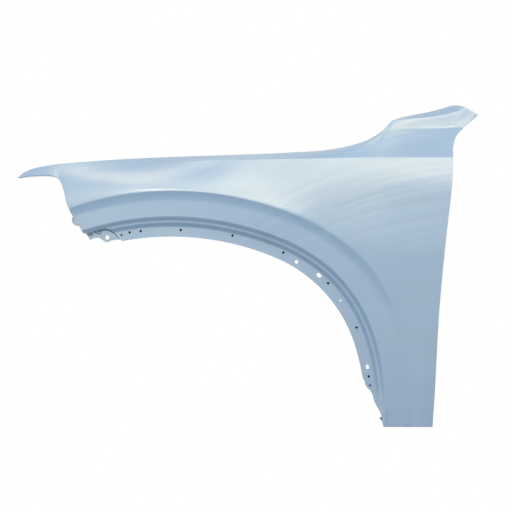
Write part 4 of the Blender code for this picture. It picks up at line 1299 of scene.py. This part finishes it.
black_plastic = plastic_finish()
rivet_metal = rivet_finish()
for piece in bpy.context.scene.objects:
    if piece.name.startswith(("plug_nut", "dark_clip")):
        piece.data.materials.append(black_plastic)
    if piece.name.startswith("blind_rivet"):
        piece.data.materials.append(rivet_metal)
print("small finishes:", black_plastic.name, rivet_metal.name)

# %% [markdown]
# The studio is a pale floor below the view and large soft lamps. One lamp is low in
# front. Rows of lamps, in a left and a right half, go up from it and over the panel,
# because the panel's highlights come from different heights at its front and at its rear.
# A lamp above the front corner and three at the front end light the snout and the flare.
# Three of the lamps that reach the surfaces that look upward are slightly warm.

# %% Floor and lamps
FLOOR_SIZE = 4.0
FLOOR_HEIGHT = -0.93
floor_mesh = bmesh.new()
bmesh.ops.create_grid(floor_mesh, x_segments=1, y_segments=1, size=FLOOR_SIZE)
bmesh.ops.translate(floor_mesh, verts=floor_mesh.verts, vec=(0.0, 0.0, FLOOR_HEIGHT))
floor = add_object("floor", floor_mesh)
floor_finish, floor_tree, floor_shader, floor_source = new_finish("pale_floor")
floor_cloud = add_noise(floor_tree, floor_source, 1.5, 2.0)
floor_tree.links.new(add_blend(floor_tree, floor_cloud, (0.52, 0.52, 0.52), (0.56, 0.56, 0.56)),
                     floor_shader.inputs["Base Color"])
floor_shader.inputs["Roughness"].default_value = 0.8
floor.data.materials.append(floor_finish)


def add_lamp(name, location, target, size, power, colour):
    data = bpy.data.lights.new(name, "AREA")
    data.shape = "RECTANGLE"
    data.size, data.size_y = size
    data.energy = power
    data.color = colour
    lamp = bpy.data.objects.new(name, data)
    lamp.location = location
    lamp.rotation_euler = (Vector(target) - Vector(location)).to_track_quat("-Z", "Y").to_euler()
    bpy.context.scene.collection.objects.link(lamp)


LAMPS = [("front_lamp", (-0.75, -2.35, 0.75), (1.5, 0.6), 15.5),
         ("high_lamp_left", (-0.75, -2.05, 1.35), (1.5, 0.6), 1.2),
         ("high_lamp_right", (0.75, -2.05, 1.35), (1.5, 0.6), 6.7),
         ("top_lamp_left", (-0.75, -1.6, 1.8), (1.5, 0.6), 3.2),
         ("top_lamp_right", (0.75, -1.6, 1.8), (1.5, 0.6), 7.3),
         ("roof_lamp_left", (-0.75, -1.06, 2.15), (1.5, 0.6), 3.8),
         ("roof_lamp_right", (0.75, -1.06, 2.15), (1.5, 0.6), 1.0),
         ("corner_lamp", (-0.9, -0.1, 2.2), (1.2, 1.2), 8.2),
         ("side_lamp_low", (-2.24, -1.82, 0.15), (1.6, 0.9), 2.7),
         ("side_lamp", (-2.09, -1.69, 0.99), (1.6, 0.9), 4.5),
         ("side_lamp_high", (-1.73, -1.4, 1.76), (1.6, 0.9), 2.9)]
WARM_LAMPS = ("corner_lamp", "roof_lamp_left", "side_lamp_high")
WARM = (1.0, 0.91, 0.76)
WHITE = (1.0, 1.0, 1.0)
AIM_HEIGHT = -0.1
AIM_SHARE = 0.3
for name, location, size, power in LAMPS:
    middle = 0.0 if name.startswith(("corner", "side")) else location[0] * AIM_SHARE
    colour = WARM if name in WARM_LAMPS else WHITE
    add_lamp(name, location, (middle, 0.0, AIM_HEIGHT), size, power, colour)
print("lamps set:", len(LAMPS))

# %% [markdown]
# The world is white where the camera, a shiny surface or a clear one looks at it. Where
# it only lights the object it is a very pale blue that gets weaker upward, so that colours
# come out about as written beside the lamps.

# %% The world
SKY_LEVEL = (1.05, 0.38)
world = bpy.data.worlds.new("studio")
bpy.context.scene.world = world
world.use_nodes = True
tree = world.node_tree
sky = tree.nodes["Background"]
sky.inputs["Color"].default_value = (0.92, 0.96, 1.0, 1.0)
up = tree.nodes.new("ShaderNodeSeparateXYZ")
direction = tree.nodes.new("ShaderNodeTexCoord")
tree.links.new(direction.outputs["Generated"], up.inputs["Vector"])
tree.links.new(add_range(tree, up.outputs["Z"], 0.0, 1.0, *SKY_LEVEL), sky.inputs["Strength"])
backdrop = tree.nodes.new("ShaderNodeBackground")
backdrop.inputs["Color"].default_value = (1.0, 1.0, 1.0, 1.0)
backdrop.inputs["Strength"].default_value = 1.0
rays = tree.nodes.new("ShaderNodeLightPath")
seen = add_math(tree, "MAXIMUM", rays.outputs["Is Camera Ray"], rays.outputs["Is Glossy Ray"])
shown = add_math(tree, "MAXIMUM", seen, rays.outputs["Is Transmission Ray"])
mix = tree.nodes.new("ShaderNodeMixShader")
tree.links.new(shown, mix.inputs[0])
tree.links.new(sky.outputs["Background"], mix.inputs[1])
tree.links.new(backdrop.outputs["Background"], mix.inputs[2])
tree.links.new(mix.outputs["Shader"], tree.nodes["World Output"].inputs["Surface"])
bpy.context.scene.view_settings.view_transform = "Standard"
print("world set")
